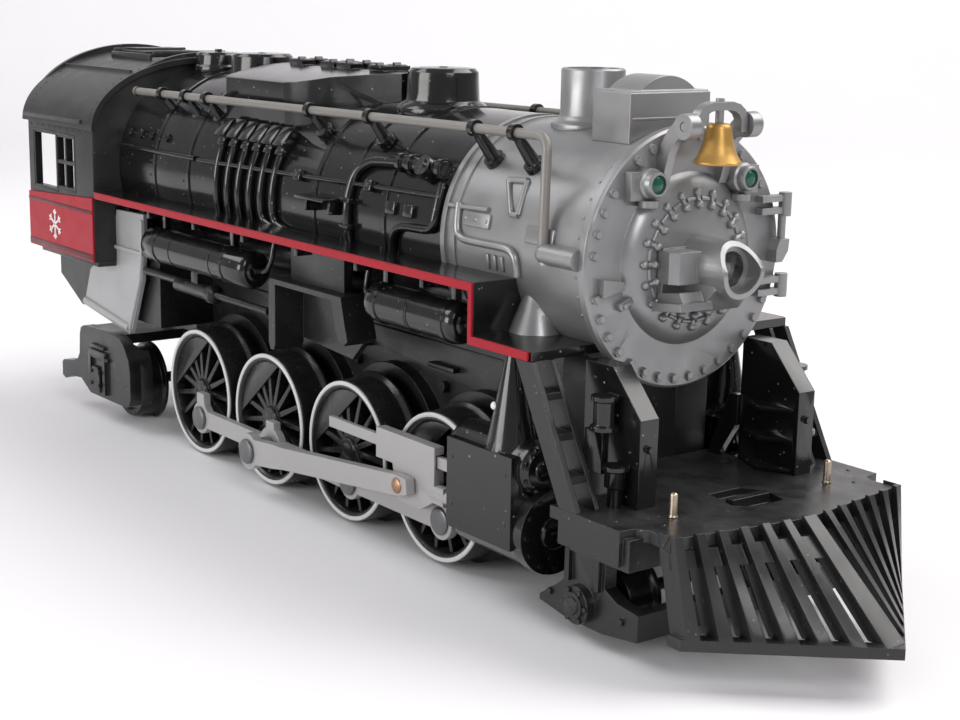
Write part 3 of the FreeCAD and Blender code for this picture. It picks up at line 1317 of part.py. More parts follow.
def trailing_truck():
    """The rear truck under the cab, with heavy outside frames whose front ends turn in round their corners."""
    outline = [
        (-155, 11.4), (-155, 16.2), (-153.6, 17.2), (-145, 18.4), (-141.6, 19.8), (-140, 22), (-139.4, 29),
        (-138.4, 31.4), (-136, 32.4), (-118, 33.2), (-112, 33), (-107.8, 32.4), (-104.6, 30.4), (-101.4, 26.2),
        (-100.2, 22), (-100.2, 12.8), (-101.6, 10.4), (-104, 9.6), (-131.6, 9.4), (-136, 11.6), (-139, 13.2),
        (-146, 12.6), (-152.6, 10.6),
    ]
    side = prism("XZ", (-38.4, -34.4), outline)
    corner_outline = [
        (-107.8, 32.4), (-104.6, 30.4), (-101.4, 26.2), (-100.2, 22), (-100.2, 12.8), (-101.6, 10.4), (-107.8, 9.6),
    ]
    corner = prism("XZ", (-39, -22), corner_outline)
    round_end = common(corner, cylinder("z", (-107.8, -30.8), (5, 40), 7.6))
    inside = fuse(cylinder("z", (-107.8, -30.8), (5, 40), 4.6), block((-112, -98), (-30, -20), (5, 40)))
    box = block((-130.4, -117.4), (-39.6, -37), (11.0, 25.6))
    recess = prism("XZ", (-40, -38.6), [(-128.4, 13), (-128.4, 23.6), (-119.4, 23.6), (-119.4, 13)])
    lid = prism(
        "XZ", (-40.2, -38.6),
        [(-127.2, 11.6), (-127.2, 18.4), (-125.6, 20.2), (-122.0, 20.2), (-120.4, 18.4), (-120.4, 11.6)],
    )
    axle_hole = cylinder("y", ("trailing_axle_x", "trailing_wheel_radius"), (-37.8, -25), "1.8 + fit")
    right = cut(fuse(side, cut(round_end, inside), cut(box, recess), lid), axle_hole)
    cross = fuse(
        block((-134, -106.4), (-12.4, 12.4), (29.4, 32.6)), block((-134, -112), (-35.6, 35.6), (29.4, 32.6))
    )
    pivot = cylinder("z", ("trailing_pivot_x", 0), (20, 45), "pivot_radius + fit")
    sub_part("trailing_truck_frame", cut(fuse(right, mirrored(right), cross), pivot))


def drawbar():
    """The flat bar that pulls the tender, free to swing under the rear beam."""
    span = (29.4, 32.0)
    bar = block(("drawbar_hole_x", "drawbar_pivot_x"), (-4, 4), span)
    ends = [cylinder("z", (x, 0), span, 5.0) for x in ("drawbar_hole_x", "drawbar_pivot_x")]
    pivot = cylinder("z", ("drawbar_pivot_x", 0), (20, 40), "pivot_radius + fit")
    hole = cylinder("z", ("drawbar_hole_x", 0), (20, 40), 2.2)
    sub_part("drawbar", cut(fuse(bar, *ends), pivot, hole))


# ---------------------------------------------------------------------------
# build, check and write
# ---------------------------------------------------------------------------


def build():
    chassis_frame()
    bottom_cover()
    body_screws()
    motor()
    worm_shaft()
    axle_gear()
    circuit_board()
    boiler_shell()
    smokebox_shell()
    smokebox_front()
    smokebox_hinges()
    headlight()
    marker_lamps()
    bell_bracket()
    bell_and_yoke()
    smokestack()
    feedwater_heater()
    boiler_top_casing()
    handrails()
    handrail_stanchions()
    cab_shell()
    cab_roof()
    cab_side_panels()
    running_boards()
    edge_stripes()
    ash_pan_plates()
    air_tanks()
    reverse_gear()
    link_brackets()
    cylinder_blocks()
    crosshead_guides()
    front_deck()
    pilot()
    lift_pins()
    ladders()
    pump_shields()
    driving_wheelsets()
    side_rods()
    main_rods()
    crossheads()
    pilot_truck()
    small_wheelset("pilot_truck_wheels", "pilot_axle_x", "pilot_wheel_radius", 18.2, 1.5, 33.4)
    trailing_truck()
    small_wheelset("trailing_truck_wheels", "trailing_axle_x", "trailing_wheel_radius", 19.2, 1.8, 37.6)
    drawbar()


def check():
    """Stops before anything is written if an object failed."""
    for thing in document.Objects:
        if "Invalid" in thing.State or "Error" in thing.State:
            raise RuntimeError(f"{thing.Name} ({thing.Label}) failed: {thing.State}")
    for name, thing in sub_parts.items():
        if thing.Shape.isNull() or not thing.Shape.isValid() or not thing.Shape.Solids:
            raise RuntimeError(f"{name} has no valid solid")


def write():
    os.makedirs("parts", exist_ok=True)
    for name, thing in sub_parts.items():
        thing.Shape.exportStep(f"parts/{name}.step")


build()
document.recompute()
check()
write()
print(len(sub_parts), "sub-parts written")
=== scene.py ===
"""Looks of the toy steam locomotive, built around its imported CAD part.

Lengths are in millimetres inside this script and become metres when a piece is made.
+X is forward, +Y the locomotive's left. An angle on the boiler counts up from the horizontal.
"""
import json
import math

import bmesh
import bpy
from mathutils import Matrix, Vector


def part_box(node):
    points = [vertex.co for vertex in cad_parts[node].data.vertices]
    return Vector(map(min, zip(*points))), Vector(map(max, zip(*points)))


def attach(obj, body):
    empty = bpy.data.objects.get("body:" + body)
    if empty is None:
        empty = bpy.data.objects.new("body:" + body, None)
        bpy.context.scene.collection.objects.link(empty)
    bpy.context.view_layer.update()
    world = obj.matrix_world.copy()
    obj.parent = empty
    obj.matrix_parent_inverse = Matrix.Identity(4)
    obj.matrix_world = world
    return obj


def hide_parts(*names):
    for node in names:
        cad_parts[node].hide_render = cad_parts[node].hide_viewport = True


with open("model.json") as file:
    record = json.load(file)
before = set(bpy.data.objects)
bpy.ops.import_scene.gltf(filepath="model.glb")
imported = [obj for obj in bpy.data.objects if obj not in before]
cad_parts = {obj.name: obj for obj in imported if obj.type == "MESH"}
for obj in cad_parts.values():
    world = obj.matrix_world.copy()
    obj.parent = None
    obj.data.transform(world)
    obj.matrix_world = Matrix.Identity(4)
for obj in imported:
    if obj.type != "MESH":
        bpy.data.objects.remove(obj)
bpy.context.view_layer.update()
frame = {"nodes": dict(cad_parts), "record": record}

MM = 0.001
SIDES = (-1, 1)
RECORD = frame["record"]
NODES = frame["nodes"]
BODY_OF = {node: body for body, nodes in RECORD["behaviour"]["bodies"].items() for node in nodes}
SLOT_OF = {entry["node"]: entry["material_slot"] for entry in RECORD["subparts"]}


def span(node):
    """A node's lowest and highest corners in millimetres."""
    low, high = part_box(node)
    return Vector(low) / MM, Vector(high) / MM


# ---------------------------------------------------------------------------
# places, worked out from the frame
# ---------------------------------------------------------------------------

plate_low, plate_high = span("smokebox_front")
AXIS_Z = (plate_low.z + plate_high.z) / 2
PLATE_RADIUS = (plate_high.z - plate_low.z) / 2
PLATE_FACE = plate_high.x - 4.0
cab_low, cab_high = span("cab_shell")
CAB_SIDE = cab_high.y
roof_high = span("cab_roof")[1]
BOARD_TOP = span("edge_stripes")[1].z
SMOKEBOX_START = span("boiler_shell")[1].x
BARREL_RADIUS = 30.2
FIREBOX_RISE = 1.8
SMOKEBOX_RADIUS = 29.5
FIREBOX_END = -85.0
TAPER_END = -20.0
SAND_DOME_X = 22
REAR_DOME_X = -78
TURRET_X = -107
SMOKESTACK_X = 85.5
CYLINDER_SIDE, CYLINDER_HEIGHT = 31, 22.9
CYLINDER_BOLT_CIRCLE = 8.9
CHEST_SIDE, CHEST_HEIGHT = 34, 38.3
CHEST_FACE, CHEST_CAP = 111.2, 111.9
CHEST_BOLT_CIRCLE = 5.3
TANK_SIDE = 34
REAR_TANK = (-89, -23, 66.8, 5.6)  # rear end, front end, height, radius
FRONT_TANK = (41, 80.5, 68.0, 5.3)
TANK_PIPE_TOP = 78.4
LEAD_AXLE_X, LEAD_AXLE_Z = 127, 10
TRAIL_AXLE_X = -123.5


def shell_radius(x, angle):
    """How far the boiler's skin stands from its axis, at an angle up from the horizontal."""
    if x > SMOKEBOX_START:
        return SMOKEBOX_RADIUS
    share = min(max((x - FIREBOX_END) / (TAPER_END - FIREBOX_END), 0), 1)
    wide = BARREL_RADIUS + FIREBOX_RISE - 2 * FIREBOX_RISE * share
    rise = FIREBOX_RISE
    wide_reach = rise * math.sin(angle) + math.sqrt(wide ** 2 - (rise * math.cos(angle)) ** 2)
    return max(wide_reach, BARREL_RADIUS)


def on_shell(x, degrees, lift=0.0, side=-1):
    """A point on the boiler's or smokebox's skin."""
    angle = math.radians(degrees)
    reach = shell_radius(x, angle) + lift
    return Vector((x, side * reach * math.cos(angle), AXIS_Z + reach * math.sin(angle)))


def shell_axes(degrees, side=-1):
    """Along the boiler, around it, and out of it."""
    angle = math.radians(degrees)
    out = Vector((0, side * math.cos(angle), math.sin(angle)))
    along = Vector((1, 0, 0))
    return along, out.cross(along), out


# ---------------------------------------------------------------------------
# materials
# ---------------------------------------------------------------------------


def node_of(tree, kind, **inputs):
    """A new shader node with some of its inputs set by name."""
    node = tree.nodes.new(kind)
    for name, value in inputs.items():
        node.inputs[name.replace("_", " ")].default_value = value
    return node


def mix_colour(tree, factor, first, second):
    """Blends two colours, each a fixed colour or another node's output."""
    mix = tree.nodes.new("ShaderNodeMix")
    mix.data_type = "RGBA"
    tree.links.new(factor, mix.inputs["Factor"])
    for socket, value in ((mix.inputs["A"], first), (mix.inputs["B"], second)):
        if isinstance(value, bpy.types.NodeSocket):
            tree.links.new(value, socket)
        else:
            socket.default_value = (*value, 1)
    return mix.outputs["Result"]


def remap(tree, value, low, high, to_low, to_high):
    """Stretches a value from one range to another."""
    node = node_of(tree, "ShaderNodeMapRange")
    node.inputs["From Min"].default_value = low
    node.inputs["From Max"].default_value = high
    node.inputs["To Min"].default_value = to_low
    node.inputs["To Max"].default_value = to_high
    tree.links.new(value, node.inputs["Value"])
    return node.outputs["Result"]


def multiply(tree, first, second):
    """A node's output times a number or another output."""
    node = tree.nodes.new("ShaderNodeMath")
    node.operation = "MULTIPLY"
    tree.links.new(first, node.inputs[0])
    if isinstance(second, bpy.types.NodeSocket):
        tree.links.new(second, node.inputs[1])
    else:
        node.inputs[1].default_value = second
    return node.outputs["Value"]


def moulded(name, colour, rough, metal=0.0, coat=0.0, dust=0.25, dust_colour=(0.42, 0.41, 0.40), grain=0.02,
            specks=0.0, mottle=0.25, edge=0.25, shine=0.5):
    """Moulded plastic or paint: uneven colour, dust on what faces up, pale specks, fine grain, soft edges."""
    made = bpy.data.materials.new(name)
    made.use_nodes = True
    tree = made.node_tree
    shader = tree.nodes["Principled BSDF"]
    shader.inputs["Metallic"].default_value = metal
    shader.inputs["Coat Weight"].default_value = coat
    shader.inputs["Coat Roughness"].default_value = 0.12
    shader.inputs["Specular IOR Level"].default_value = shine
    place = tree.nodes.new("ShaderNodeTexCoord").outputs["Object"]

    def noise(scale, detail=3.0):
        node = node_of(tree, "ShaderNodeTexNoise", Scale=scale, Detail=detail)
        tree.links.new(place, node.inputs["Vector"])
        return node.outputs["Fac"]

    broad = noise(28.0)
    cloudy = noise(160.0, 5.0)
    fine = noise(2600.0, 2.0)
    normal = tree.nodes.new("ShaderNodeNewGeometry").outputs["Normal"]
    parts = tree.nodes.new("ShaderNodeSeparateXYZ")
    tree.links.new(normal, parts.inputs["Vector"])
    upward = remap(tree, parts.outputs["Z"], 0.1, 1.0, 0.06, 1.0)
    patchy = remap(tree, cloudy, 0.35, 0.7, 0.25, 1.0)
    dusty = multiply(tree, multiply(tree, upward, patchy), dust)

    shade = remap(tree, broad, 0.3, 0.7, 0.0, mottle)
    darker = tuple(channel * 0.6 for channel in colour)
    body = mix_colour(tree, shade, colour, darker)
    body = mix_colour(tree, dusty, body, dust_colour)
    if specks:
        cells = node_of(tree, "ShaderNodeTexVoronoi", Scale=330.0, Randomness=1.0)
        tree.links.new(place, cells.inputs["Vector"])
        dots = remap(tree, cells.outputs["Distance"], 0.05, 0.11, specks, 0.0)
        body = mix_colour(tree, multiply(tree, dots, patchy), body, (0.55, 0.54, 0.52))
    tree.links.new(body, shader.inputs["Base Color"])

    uneven = remap(tree, cloudy, 0.3, 0.7, rough * 0.85, min(rough * 1.25, 1.0))
    added = tree.nodes.new("ShaderNodeMath")
    added.operation = "MULTIPLY_ADD"
    added.inputs[1].default_value = 0.45
    added.use_clamp = True
    tree.links.new(dusty, added.inputs[0])
    tree.links.new(uneven, added.inputs[2])
    tree.links.new(added.outputs["Value"], shader.inputs["Roughness"])

    soft_edge = tree.nodes.new("ShaderNodeBevel")
    soft_edge.samples = 6
    soft_edge.inputs["Radius"].default_value = edge * MM
    bump = node_of(tree, "ShaderNodeBump", Strength=grain * 10, Distance=0.00005)
    tree.links.new(fine, bump.inputs["Height"])
    tree.links.new(soft_edge.outputs["Normal"], bump.inputs["Normal"])
    tree.links.new(bump.outputs["Normal"], shader.inputs["Normal"])
    return made


def glass(name, colour, rough, see_through):
    """A small clear or tinted lens."""
    made = moulded(name, colour, rough, dust=0.05, mottle=0.1, grain=0.005)
    shader = made.node_tree.nodes["Principled BSDF"]
    shader.inputs["Transmission Weight"].default_value = see_through
    shader.inputs["IOR"].default_value = 1.49
    return made


DARK_DUST = (0.30, 0.29, 0.28)
MATERIALS = {
    "black_gloss": moulded(
        "black_gloss", (0.0060, 0.0058, 0.0062), 0.15, coat=0.15, dust=0.03, specks=0.5, dust_colour=DARK_DUST
    ),
    "black_plastic": moulded(
        "black_plastic", (0.0110, 0.0110, 0.0115), 0.30, dust=0.06, specks=0.25, dust_colour=DARK_DUST
    ),
    "cab_grey": moulded(
        "cab_grey", (0.013, 0.0135, 0.0135), 0.34, dust=0.16, specks=0.2, dust_colour=DARK_DUST
    ),
    "silver_paint": moulded(
        "silver_paint", (0.28, 0.28, 0.283), 0.34, metal=0.65, dust=0.10, dust_colour=(0.62, 0.62, 0.61),
        grain=0.03,
    ),
    "light_grey": moulded("light_grey", (0.36, 0.36, 0.365), 0.42, metal=0.15, dust=0.10, grain=0.03),
    "rod_metal": moulded("rod_metal", (0.35, 0.345, 0.34), 0.40, metal=0.15, dust=0.08, grain=0.03),
    "pin_steel": moulded("pin_steel", (0.14, 0.14, 0.145), 0.36, metal=0.5, dust=0.08),
    "steel": moulded("steel", (0.5, 0.5, 0.51), 0.3, metal=1.0, dust=0.05),
    "white_nylon": moulded("white_nylon", (0.75, 0.74, 0.70), 0.45),
    "board_green": moulded("board_green", (0.03, 0.16, 0.07), 0.4),
    "bell_gold": moulded(
        "bell_gold", (0.50, 0.29, 0.075), 0.38, metal=0.7, dust=0.08, dust_colour=(0.6, 0.5, 0.3)
    ),
    "brass": moulded("brass", (0.50, 0.42, 0.32), 0.3, metal=0.9, dust=0.05),
    "rail_beige": moulded(
        "rail_beige", (0.20, 0.19, 0.175), 0.40, metal=0.2, dust=0.16, dust_colour=(0.5, 0.48, 0.44)
    ),
    "red_paint": moulded("red_paint", (0.31, 0.005, 0.015), 0.34, dust=0.02, mottle=0.1, shine=0.22),
    "wheel_black": moulded("wheel_black", (0.009, 0.009, 0.0095), 0.24, dust=0.04, specks=0.15),
    "clear_lens": glass("clear_lens", (0.9, 0.92, 0.92), 0.05, 1.0),
    "bulb_glass": glass("bulb_glass", (0.95, 0.90, 0.78), 0.08, 0.8),
    "green_lens": glass("green_lens", (0.002, 0.09, 0.055), 0.12, 0.2),
}
EXTRA = {
    "rim_white": moulded("rim_white", (0.55, 0.55, 0.545), 0.42, dust=0.1),
    "band_red": moulded("band_red", (0.075, 0.004, 0.008), 0.36, dust=0.03, mottle=0.1),
    "snow_white": moulded("snow_white", (0.72, 0.71, 0.70), 0.45, dust=0.02, mottle=0.1),
    "copper": moulded("copper", (0.36, 0.22, 0.14), 0.38, metal=0.8, dust=0.05),
    # near-black colour for the headlight's inside: painted shade in the lamp's hollow
    "lamp_painted_shade": moulded("lamp_painted_shade", (0.03, 0.028, 0.028), 0.35, dust=0.0),
}
ALL_MATERIALS = {**MATERIALS, **EXTRA}


# ---------------------------------------------------------------------------
# mesh helpers
# ---------------------------------------------------------------------------


def basis(direction):
    """A rotation that turns +Z to a direction."""
    return Vector(direction).to_track_quat("Z", "Y").to_matrix().to_4x4()


def add_rod(mesh, start, end, radius, end_radius=None, sides=24):
    """A round or tapered rod with flat ends."""
    start, end = Vector(start), Vector(end)
    place = Matrix.Translation((start + end) / 2) @ basis(end - start)
    far = radius if end_radius is None else end_radius
    bmesh.ops.create_cone(
        mesh, cap_ends=True, segments=sides, radius1=radius, radius2=far, depth=(end - start).length,
        matrix=place,
    )


def add_slab(mesh, centre, axes, size, round_edge=0.3):
    """A box with rounded edges, its sides along three axes."""
    turn = Matrix(axes).transposed().to_4x4()
    place = Matrix.Translation(Vector(centre)) @ turn @ Matrix.Diagonal((*size, 1))
    verts = bmesh.ops.create_cube(mesh, size=1.0, matrix=place)["verts"]
    edges = dict.fromkeys(edge for vert in verts for edge in vert.link_edges)
    if round_edge:
        bmesh.ops.bevel(mesh, geom=list(edges), offset=round_edge, segments=2, affect="EDGES", profile=0.5)


WORLD = ((1, 0, 0), (0, 1, 0), (0, 0, 1))
TIP = 0.001  # how near its axis a turned cap ends


def add_box(mesh, low, high, round_edge=0.3):
    """A box between two corners, with rounded edges."""
    low, high = Vector(low), Vector(high)
    add_slab(mesh, (low + high) / 2, WORLD, tuple(high - low), round_edge)


def add_rivet(mesh, point, out, radius=0.55, height=0.6):
    """A round head: a ball flattened along the way it faces."""
    place = Matrix.Translation(Vector(point)) @ basis(out) @ Matrix.Diagonal((1, 1, height, 1))
    bmesh.ops.create_uvsphere(mesh, u_segments=12, v_segments=6, radius=radius, matrix=place)


def add_bolt(mesh, point, out, radius=0.9, height=0.7):
    """A six-sided head, sunk a little into what it stands on."""
    out = Vector(out).normalized()
    add_rod(mesh, Vector(point) - out * 0.2, Vector(point) + out * height, radius, radius * 0.92, sides=6)


def add_lathe(mesh, profile, origin, direction, sides=72):
    """Turns (along, radius) points about a line."""
    place = Matrix.Translation(Vector(origin)) @ basis(direction)
    rings = []
    for along, radius in profile:
        ring = []
        for step in range(sides):
            angle = 2 * math.pi * step / sides
            point = Vector((radius * math.cos(angle), radius * math.sin(angle), along))
            ring.append(mesh.verts.new(place @ point))
        rings.append(ring)
    for first, second in zip(rings, rings[1:]):
        for step in range(sides):
            following = (step + 1) % sides
            mesh.faces.new((first[step], first[following], second[following], second[step]))


def add_closed_lathe(mesh, profile, origin, direction, sides=72):
    """Like add_lathe, for a loop of points that comes back to its start."""
    add_lathe(mesh, list(profile) + [profile[0]], origin, direction, sides)


SMOOTH_BELOW = math.radians(35)
CAD_SMOOTH_BELOW = math.radians(32)


def piece(name, mesh, material, body):
    """Makes an object in metres that rides on a body."""
    bmesh.ops.remove_doubles(mesh, verts=mesh.verts, dist=0.0005)
    bmesh.ops.recalc_face_normals(mesh, faces=mesh.faces)
    bmesh.ops.scale(mesh, vec=(MM, MM, MM), verts=mesh.verts)
    data = bpy.data.meshes.new(name)
    mesh.to_mesh(data)
    mesh.free()
    data.polygons.foreach_set("use_smooth", [True] * len(data.polygons))
    data.set_sharp_from_angle(angle=SMOOTH_BELOW)
    made = bpy.data.objects.new(name, data)
    bpy.context.collection.objects.link(made)
    data.materials.append(ALL_MATERIALS[material])
    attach(made, body)
    return made


def pipes(name, routes, material, body):
    """Round pipes along smooth routes. A route is (radius, points)."""
    curve = bpy.data.curves.new(name, "CURVE")
    curve.dimensions = "3D"
    curve.bevel_depth = MM
    curve.bevel_resolution = 5
    curve.resolution_u = 8
    curve.use_fill_caps = True
    for radius, points in routes:
        spline = curve.splines.new("NURBS")
        spline.points.add(len(points) - 1)
        for knot, point in zip(spline.points, points):
            knot.co = (*(Vector(point) * MM), 1)
            knot.radius = radius
        spline.order_u = 3
        spline.use_endpoint_u = True
    made = bpy.data.objects.new(name, curve)
    bpy.context.collection.objects.link(made)
    curve.materials.append(MATERIALS[material])
    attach(made, body)
    return made


# ---------------------------------------------------------------------------
# CAD nodes: smooth shading and rounded edges on a copy, in their own material
# ---------------------------------------------------------------------------

EDGE_ROUND = {"default": 0.22, "bell": 0.0, "handrails": 0.0, "headlight_lens": 0.0, "headlight_bulb": 0.0,
              "axle_gear": 0.0, "worm_shaft": 0.0, "body_screws": 0.0}
KEPT_TRIANGLES = ("cab_shell",)


def soften(node):
    """A copy of a CAD node with its flat faces merged, its edges rounded and its round faces smooth."""
    source = NODES[node]
    data = source.data.copy()
    mesh = bmesh.new()
    mesh.from_mesh(data)
    bmesh.ops.remove_doubles(mesh, verts=mesh.verts, dist=2e-6)
    if node not in KEPT_TRIANGLES:
        bmesh.ops.dissolve_limit(
            mesh, angle_limit=math.radians(0.4), verts=mesh.verts, edges=mesh.edges,
            use_dissolve_boundaries=False,
        )
    mesh.to_mesh(data)
    mesh.free()
    data.name = node + "_soft"
    copy = bpy.data.objects.new(node + "_soft", data)
    bpy.context.collection.objects.link(copy)
    data.polygons.foreach_set("use_smooth", [True] * len(data.polygons))
    data.set_sharp_from_angle(angle=CAD_SMOOTH_BELOW)
    width = EDGE_ROUND.get(node, EDGE_ROUND["default"])
    if width:
        bevel = copy.modifiers.new("round_edges", "BEVEL")
        bevel.width = width * MM
        bevel.segments = 2
        bevel.limit_method = "ANGLE"
        bevel.angle_limit = math.radians(38)
        bevel.harden_normals = True
        bevel.use_clamp_overlap = True
    data.materials.clear()
    data.materials.append(MATERIALS[SLOT_OF[node]])
    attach(copy, BODY_OF[node])
    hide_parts(node)
    return copy


def finish_cad_nodes():
    """Every CAD node gets its material, and its softened copy stands for it."""
    for node in NODES:
        for slot in NODES[node].material_slots:
            slot.material = MATERIALS[SLOT_OF[node]]
        soften(node)


# ---------------------------------------------------------------------------
# boiler details, the same on both sides
# ---------------------------------------------------------------------------

VALVE_BOXES = 6
VALVE_PITCH = 6.7
VALVE_FIRST = -52.0


def valve_boxes(side, name):
    """Six rounded boxes in a row, each with a foot and a pipe down the boiler's side."""
    mesh = bmesh.new()
    for index in range(VALVE_BOXES):
        x = VALVE_FIRST + VALVE_PITCH * index
        add_slab(mesh, on_shell(x, 34.5, 1.2, side), shell_axes(38, side), (5.8, 6.6, 4.4), 0.3)
        add_slab(mesh, on_shell(x, 27.5, 0.8, side), shell_axes(28, side), (4.2, 2.6, 3.0), 0.4)
    piece(f"valve_boxes_{name}", mesh, "black_gloss", "chassis")
    routes = []
    for index in range(VALVE_BOXES):
        x = VALVE_FIRST + VALVE_PITCH * index
        bends = [on_shell(x, angle, 1.0, side) for angle in (29, 20, 10, 0, -9, -16)]
        if index >= VALVE_BOXES - 2:
            forward_turn = ((x, -8), (x + 1.4, -12), (x + 7, -14))
            bends[-2:] = [on_shell(bend_x, angle, 1.0, side) for bend_x, angle in forward_turn]
        routes.append((1.15, bends))
    pipes(f"valve_pipes_{name}", routes, "black_gloss", "chassis")


def side_piping(side, name):
    long_run = [on_shell(x, 15 + 4 * (x + 64) / 127, 0.9, side) for x in (-64, -40, -10, 20, 45, 62.5)]
    tall = [on_shell(21.6, angle, 1.2, side) for angle in (-16, -6, 4, 14)]
    tall += [
        on_shell(x, angle, lift, side)
        for x, angle, lift in ((22.4, 24, 1.4), (27, 30, 1.6), (34, 31, 1.8), (43, 31.5, 2.0))
    ]
    front = [
        on_shell(x, angle, 1.0, side)
        for x, angle in (
            (41.9, -18), (42.4, -10), (44.5, 0), (50, 2), (57, 2), (61.4, 3), (62, 12), (61.6, 25)
        )
    ]
    high = [on_shell(x, 15.5, 0.6, side) for x in (-115, -95, -80, -66)]
    pipes(
        f"side_pipes_{name}", [(0.7, long_run), (1.3, tall), (1.1, front), (0.9, high)],
        "black_gloss", "chassis",
    )
    mesh = bmesh.new()
    for x, angle in ((-5.3, 17), (30.7, 18)):
        add_slab(mesh, on_shell(x, angle, 0.9, side), shell_axes(angle, side), (3.4, 3.2, 2.6), 0.4)
        add_rivet(mesh, on_shell(x, angle, 2.1, side), shell_axes(angle, side)[2], 0.7)
    for angle in (-4, 9):
        add_slab(mesh, on_shell(21.6, angle, 1.0, side), shell_axes(angle, side), (4.4, 1.6, 3.0), 0.3)
    check = on_shell(43, 31.5, 2.0, side)
    check_end = on_shell(61.5, 31.5, 2.0, side)
    add_rod(mesh, check, check_end, 1.9)
    for share in (0.0, 0.25, 0.95):
        middle = check.lerp(check_end, share)
        add_rod(mesh, middle - Vector((0.8, 0, 0)), middle + Vector((0.8, 0, 0)), 2.6)
    boss = on_shell(55.4, 30, 0.5, side)
    out = shell_axes(30, side)[2]
    add_rod(mesh, boss, boss + out * 4.4, 3.1, 2.8)
    add_rod(mesh, boss + out * 4.4, boss + out * 5.2, 2.0, 1.4)
    for x in (41.4, 49.6):
        add_slab(mesh, on_shell(x, 9.5, 0.25, side), shell_axes(9.5, side), (4.4, 3.6, 1.6), 0.5)
    add_slab(mesh, on_shell(11.4, 8, 3.6, side), shell_axes(0, side), (15.2, 1.0, 8.0), 0.3)
    for x in (5.4, 17.4):
        add_slab(mesh, on_shell(x, 4.5, 2.2, side), shell_axes(4, side), (1.2, 4.0, 4.6), 0.3)
    piece(f"side_fittings_{name}", mesh, "black_gloss", "chassis")


def washout_plugs(side, name):
    """Round plugs along the firebox and rivets beside each boiler band."""
    mesh = bmesh.new()
    for x in (-112, -104, -96.5, -86):
        out = shell_axes(24, side)[2]
        point = on_shell(x, 24, 0, side)
        add_rod(mesh, point - out * 0.5, point + out * 0.9, 1.5)
        add_bolt(mesh, point + out * 0.9, out, 0.8, 0.5)
    for x in (-94.6, -73.2, 5.0):
        for degrees in range(-14, 66, 8):
            add_rivet(mesh, on_shell(x, degrees, 0, side), shell_axes(degrees, side)[2], 0.42)
    piece(f"boiler_rivets_{name}", mesh, "black_gloss", "chassis")


def smokebox_fittings(side, name):
    """Pipes and plates in low relief on the smokebox, and rivets beside its rings."""
    loop = [(69.4, 18), (69.8, 8), (71.4, 1.5), (78, 1), (86, 1.2), (92.4, 1), (94.6, -4), (94.2, -11)]
    short = [(65.5, 16.2), (72, 16.6), (81.3, 17)]
    routes = [
        (1.0, [on_shell(x, angle, 0.6, side) for x, angle in loop]),
        (0.7, [on_shell(x, angle, 0.4, side) for x, angle in short]),
    ]
    pipes(f"smokebox_pipes_{name}", routes, "silver_paint", "chassis")
    mesh = bmesh.new()
    frame_corners = ((84.6, 33), (91.5, 34), (92.8, 17), (90.2, 17), (84.6, 33))
    for (x0, a0), (x1, a1) in zip(frame_corners, frame_corners[1:]):
        add_rod(mesh, on_shell(x0, a0, 0.3, side), on_shell(x1, a1, 0.3, side), 0.8, sides=12)
    add_slab(mesh, on_shell(77.6, 11.5, 0.1, side), shell_axes(11.5, side), (10.4, 3.6, 1.2), 0.3)
    for x in (73.4, 77.6, 81.8):
        add_rivet(mesh, on_shell(x, 11.5, 0.7, side), shell_axes(11.5, side)[2], 0.5)
    add_slab(mesh, on_shell(102.4, 9.5, 0.1, side), shell_axes(9.5, side), (10.5, 4.2, 1.2), 0.3)
    for x in (82.6, 85.4, 88.2):
        add_slab(mesh, on_shell(x, -7, 0.1, side), shell_axes(-7, side), (1.3, 3.8, 1.0), 0.3)
    for degrees in range(-24, 84, 9):
        add_rivet(mesh, on_shell(115.6, degrees, 0, side), shell_axes(degrees, side)[2], 0.4)
    elbow = on_shell(107, -2, 1.5, side)
    add_rod(mesh, elbow, elbow + Vector((0, 0, 3.4)), 2.0, 1.8)
    piece(f"smokebox_fittings_{name}", mesh, "silver_paint", "chassis")


STUDS = 20
PLATE_BOLTS = 36
# where a lamp, an arm or a hinge covers the plate's edge
BOLTS_LEFT_OUT = (0, 1, 2, 4, 7, 10, 13, 18, 34, 35)


def door_studs():
    """Paired studs joined by bars around the door, and hexagon bolts at the plate's edge."""
    mesh = bmesh.new()
    forward = Vector((1, 0, 0))

    def on_door(radius, x, angle):
        return Vector((PLATE_FACE + x, radius * math.cos(angle), AXIS_Z + radius * math.sin(angle)))

    for index in range(STUDS):
        angle = 2 * math.pi * index / STUDS
        inner, outer = on_door(13.2, 3.7, angle), on_door(16.0, 2.9, angle)
        add_rivet(mesh, inner, forward, 1.1, 1.0)
        add_rivet(mesh, outer, forward, 1.1, 1.0)
        add_rod(mesh, inner, outer, 0.6, sides=12)
        add_rod(mesh, on_door(14.6, 3.1, angle + 0.07), on_door(14.6, 3.1, angle + 0.245), 0.55, sides=12)
    for index in range(PLATE_BOLTS):
        angle = 2 * math.pi * (index + 0.5) / PLATE_BOLTS
        if index in BOLTS_LEFT_OUT:
            continue
        add_bolt(mesh, on_door(PLATE_RADIUS - 2.6, 0.2, angle), forward, 1.1, 0.8)
    for degrees in (205, 335):
        angle = math.radians(degrees)
        out = Vector((0, math.cos(angle), math.sin(angle)))
        centre = on_door(21.4, 0.6, angle)
        add_slab(mesh, centre, (forward, out, forward.cross(out)), (1.8, 4.6, 2.0), 0.5)
        add_bolt(mesh, centre + forward * 0.8 + out * 0.8, forward, 0.8, 0.6)
    piece("door_studs", mesh, "silver_paint", "chassis")


# ---------------------------------------------------------------------------
# top of the boiler
# ---------------------------------------------------------------------------


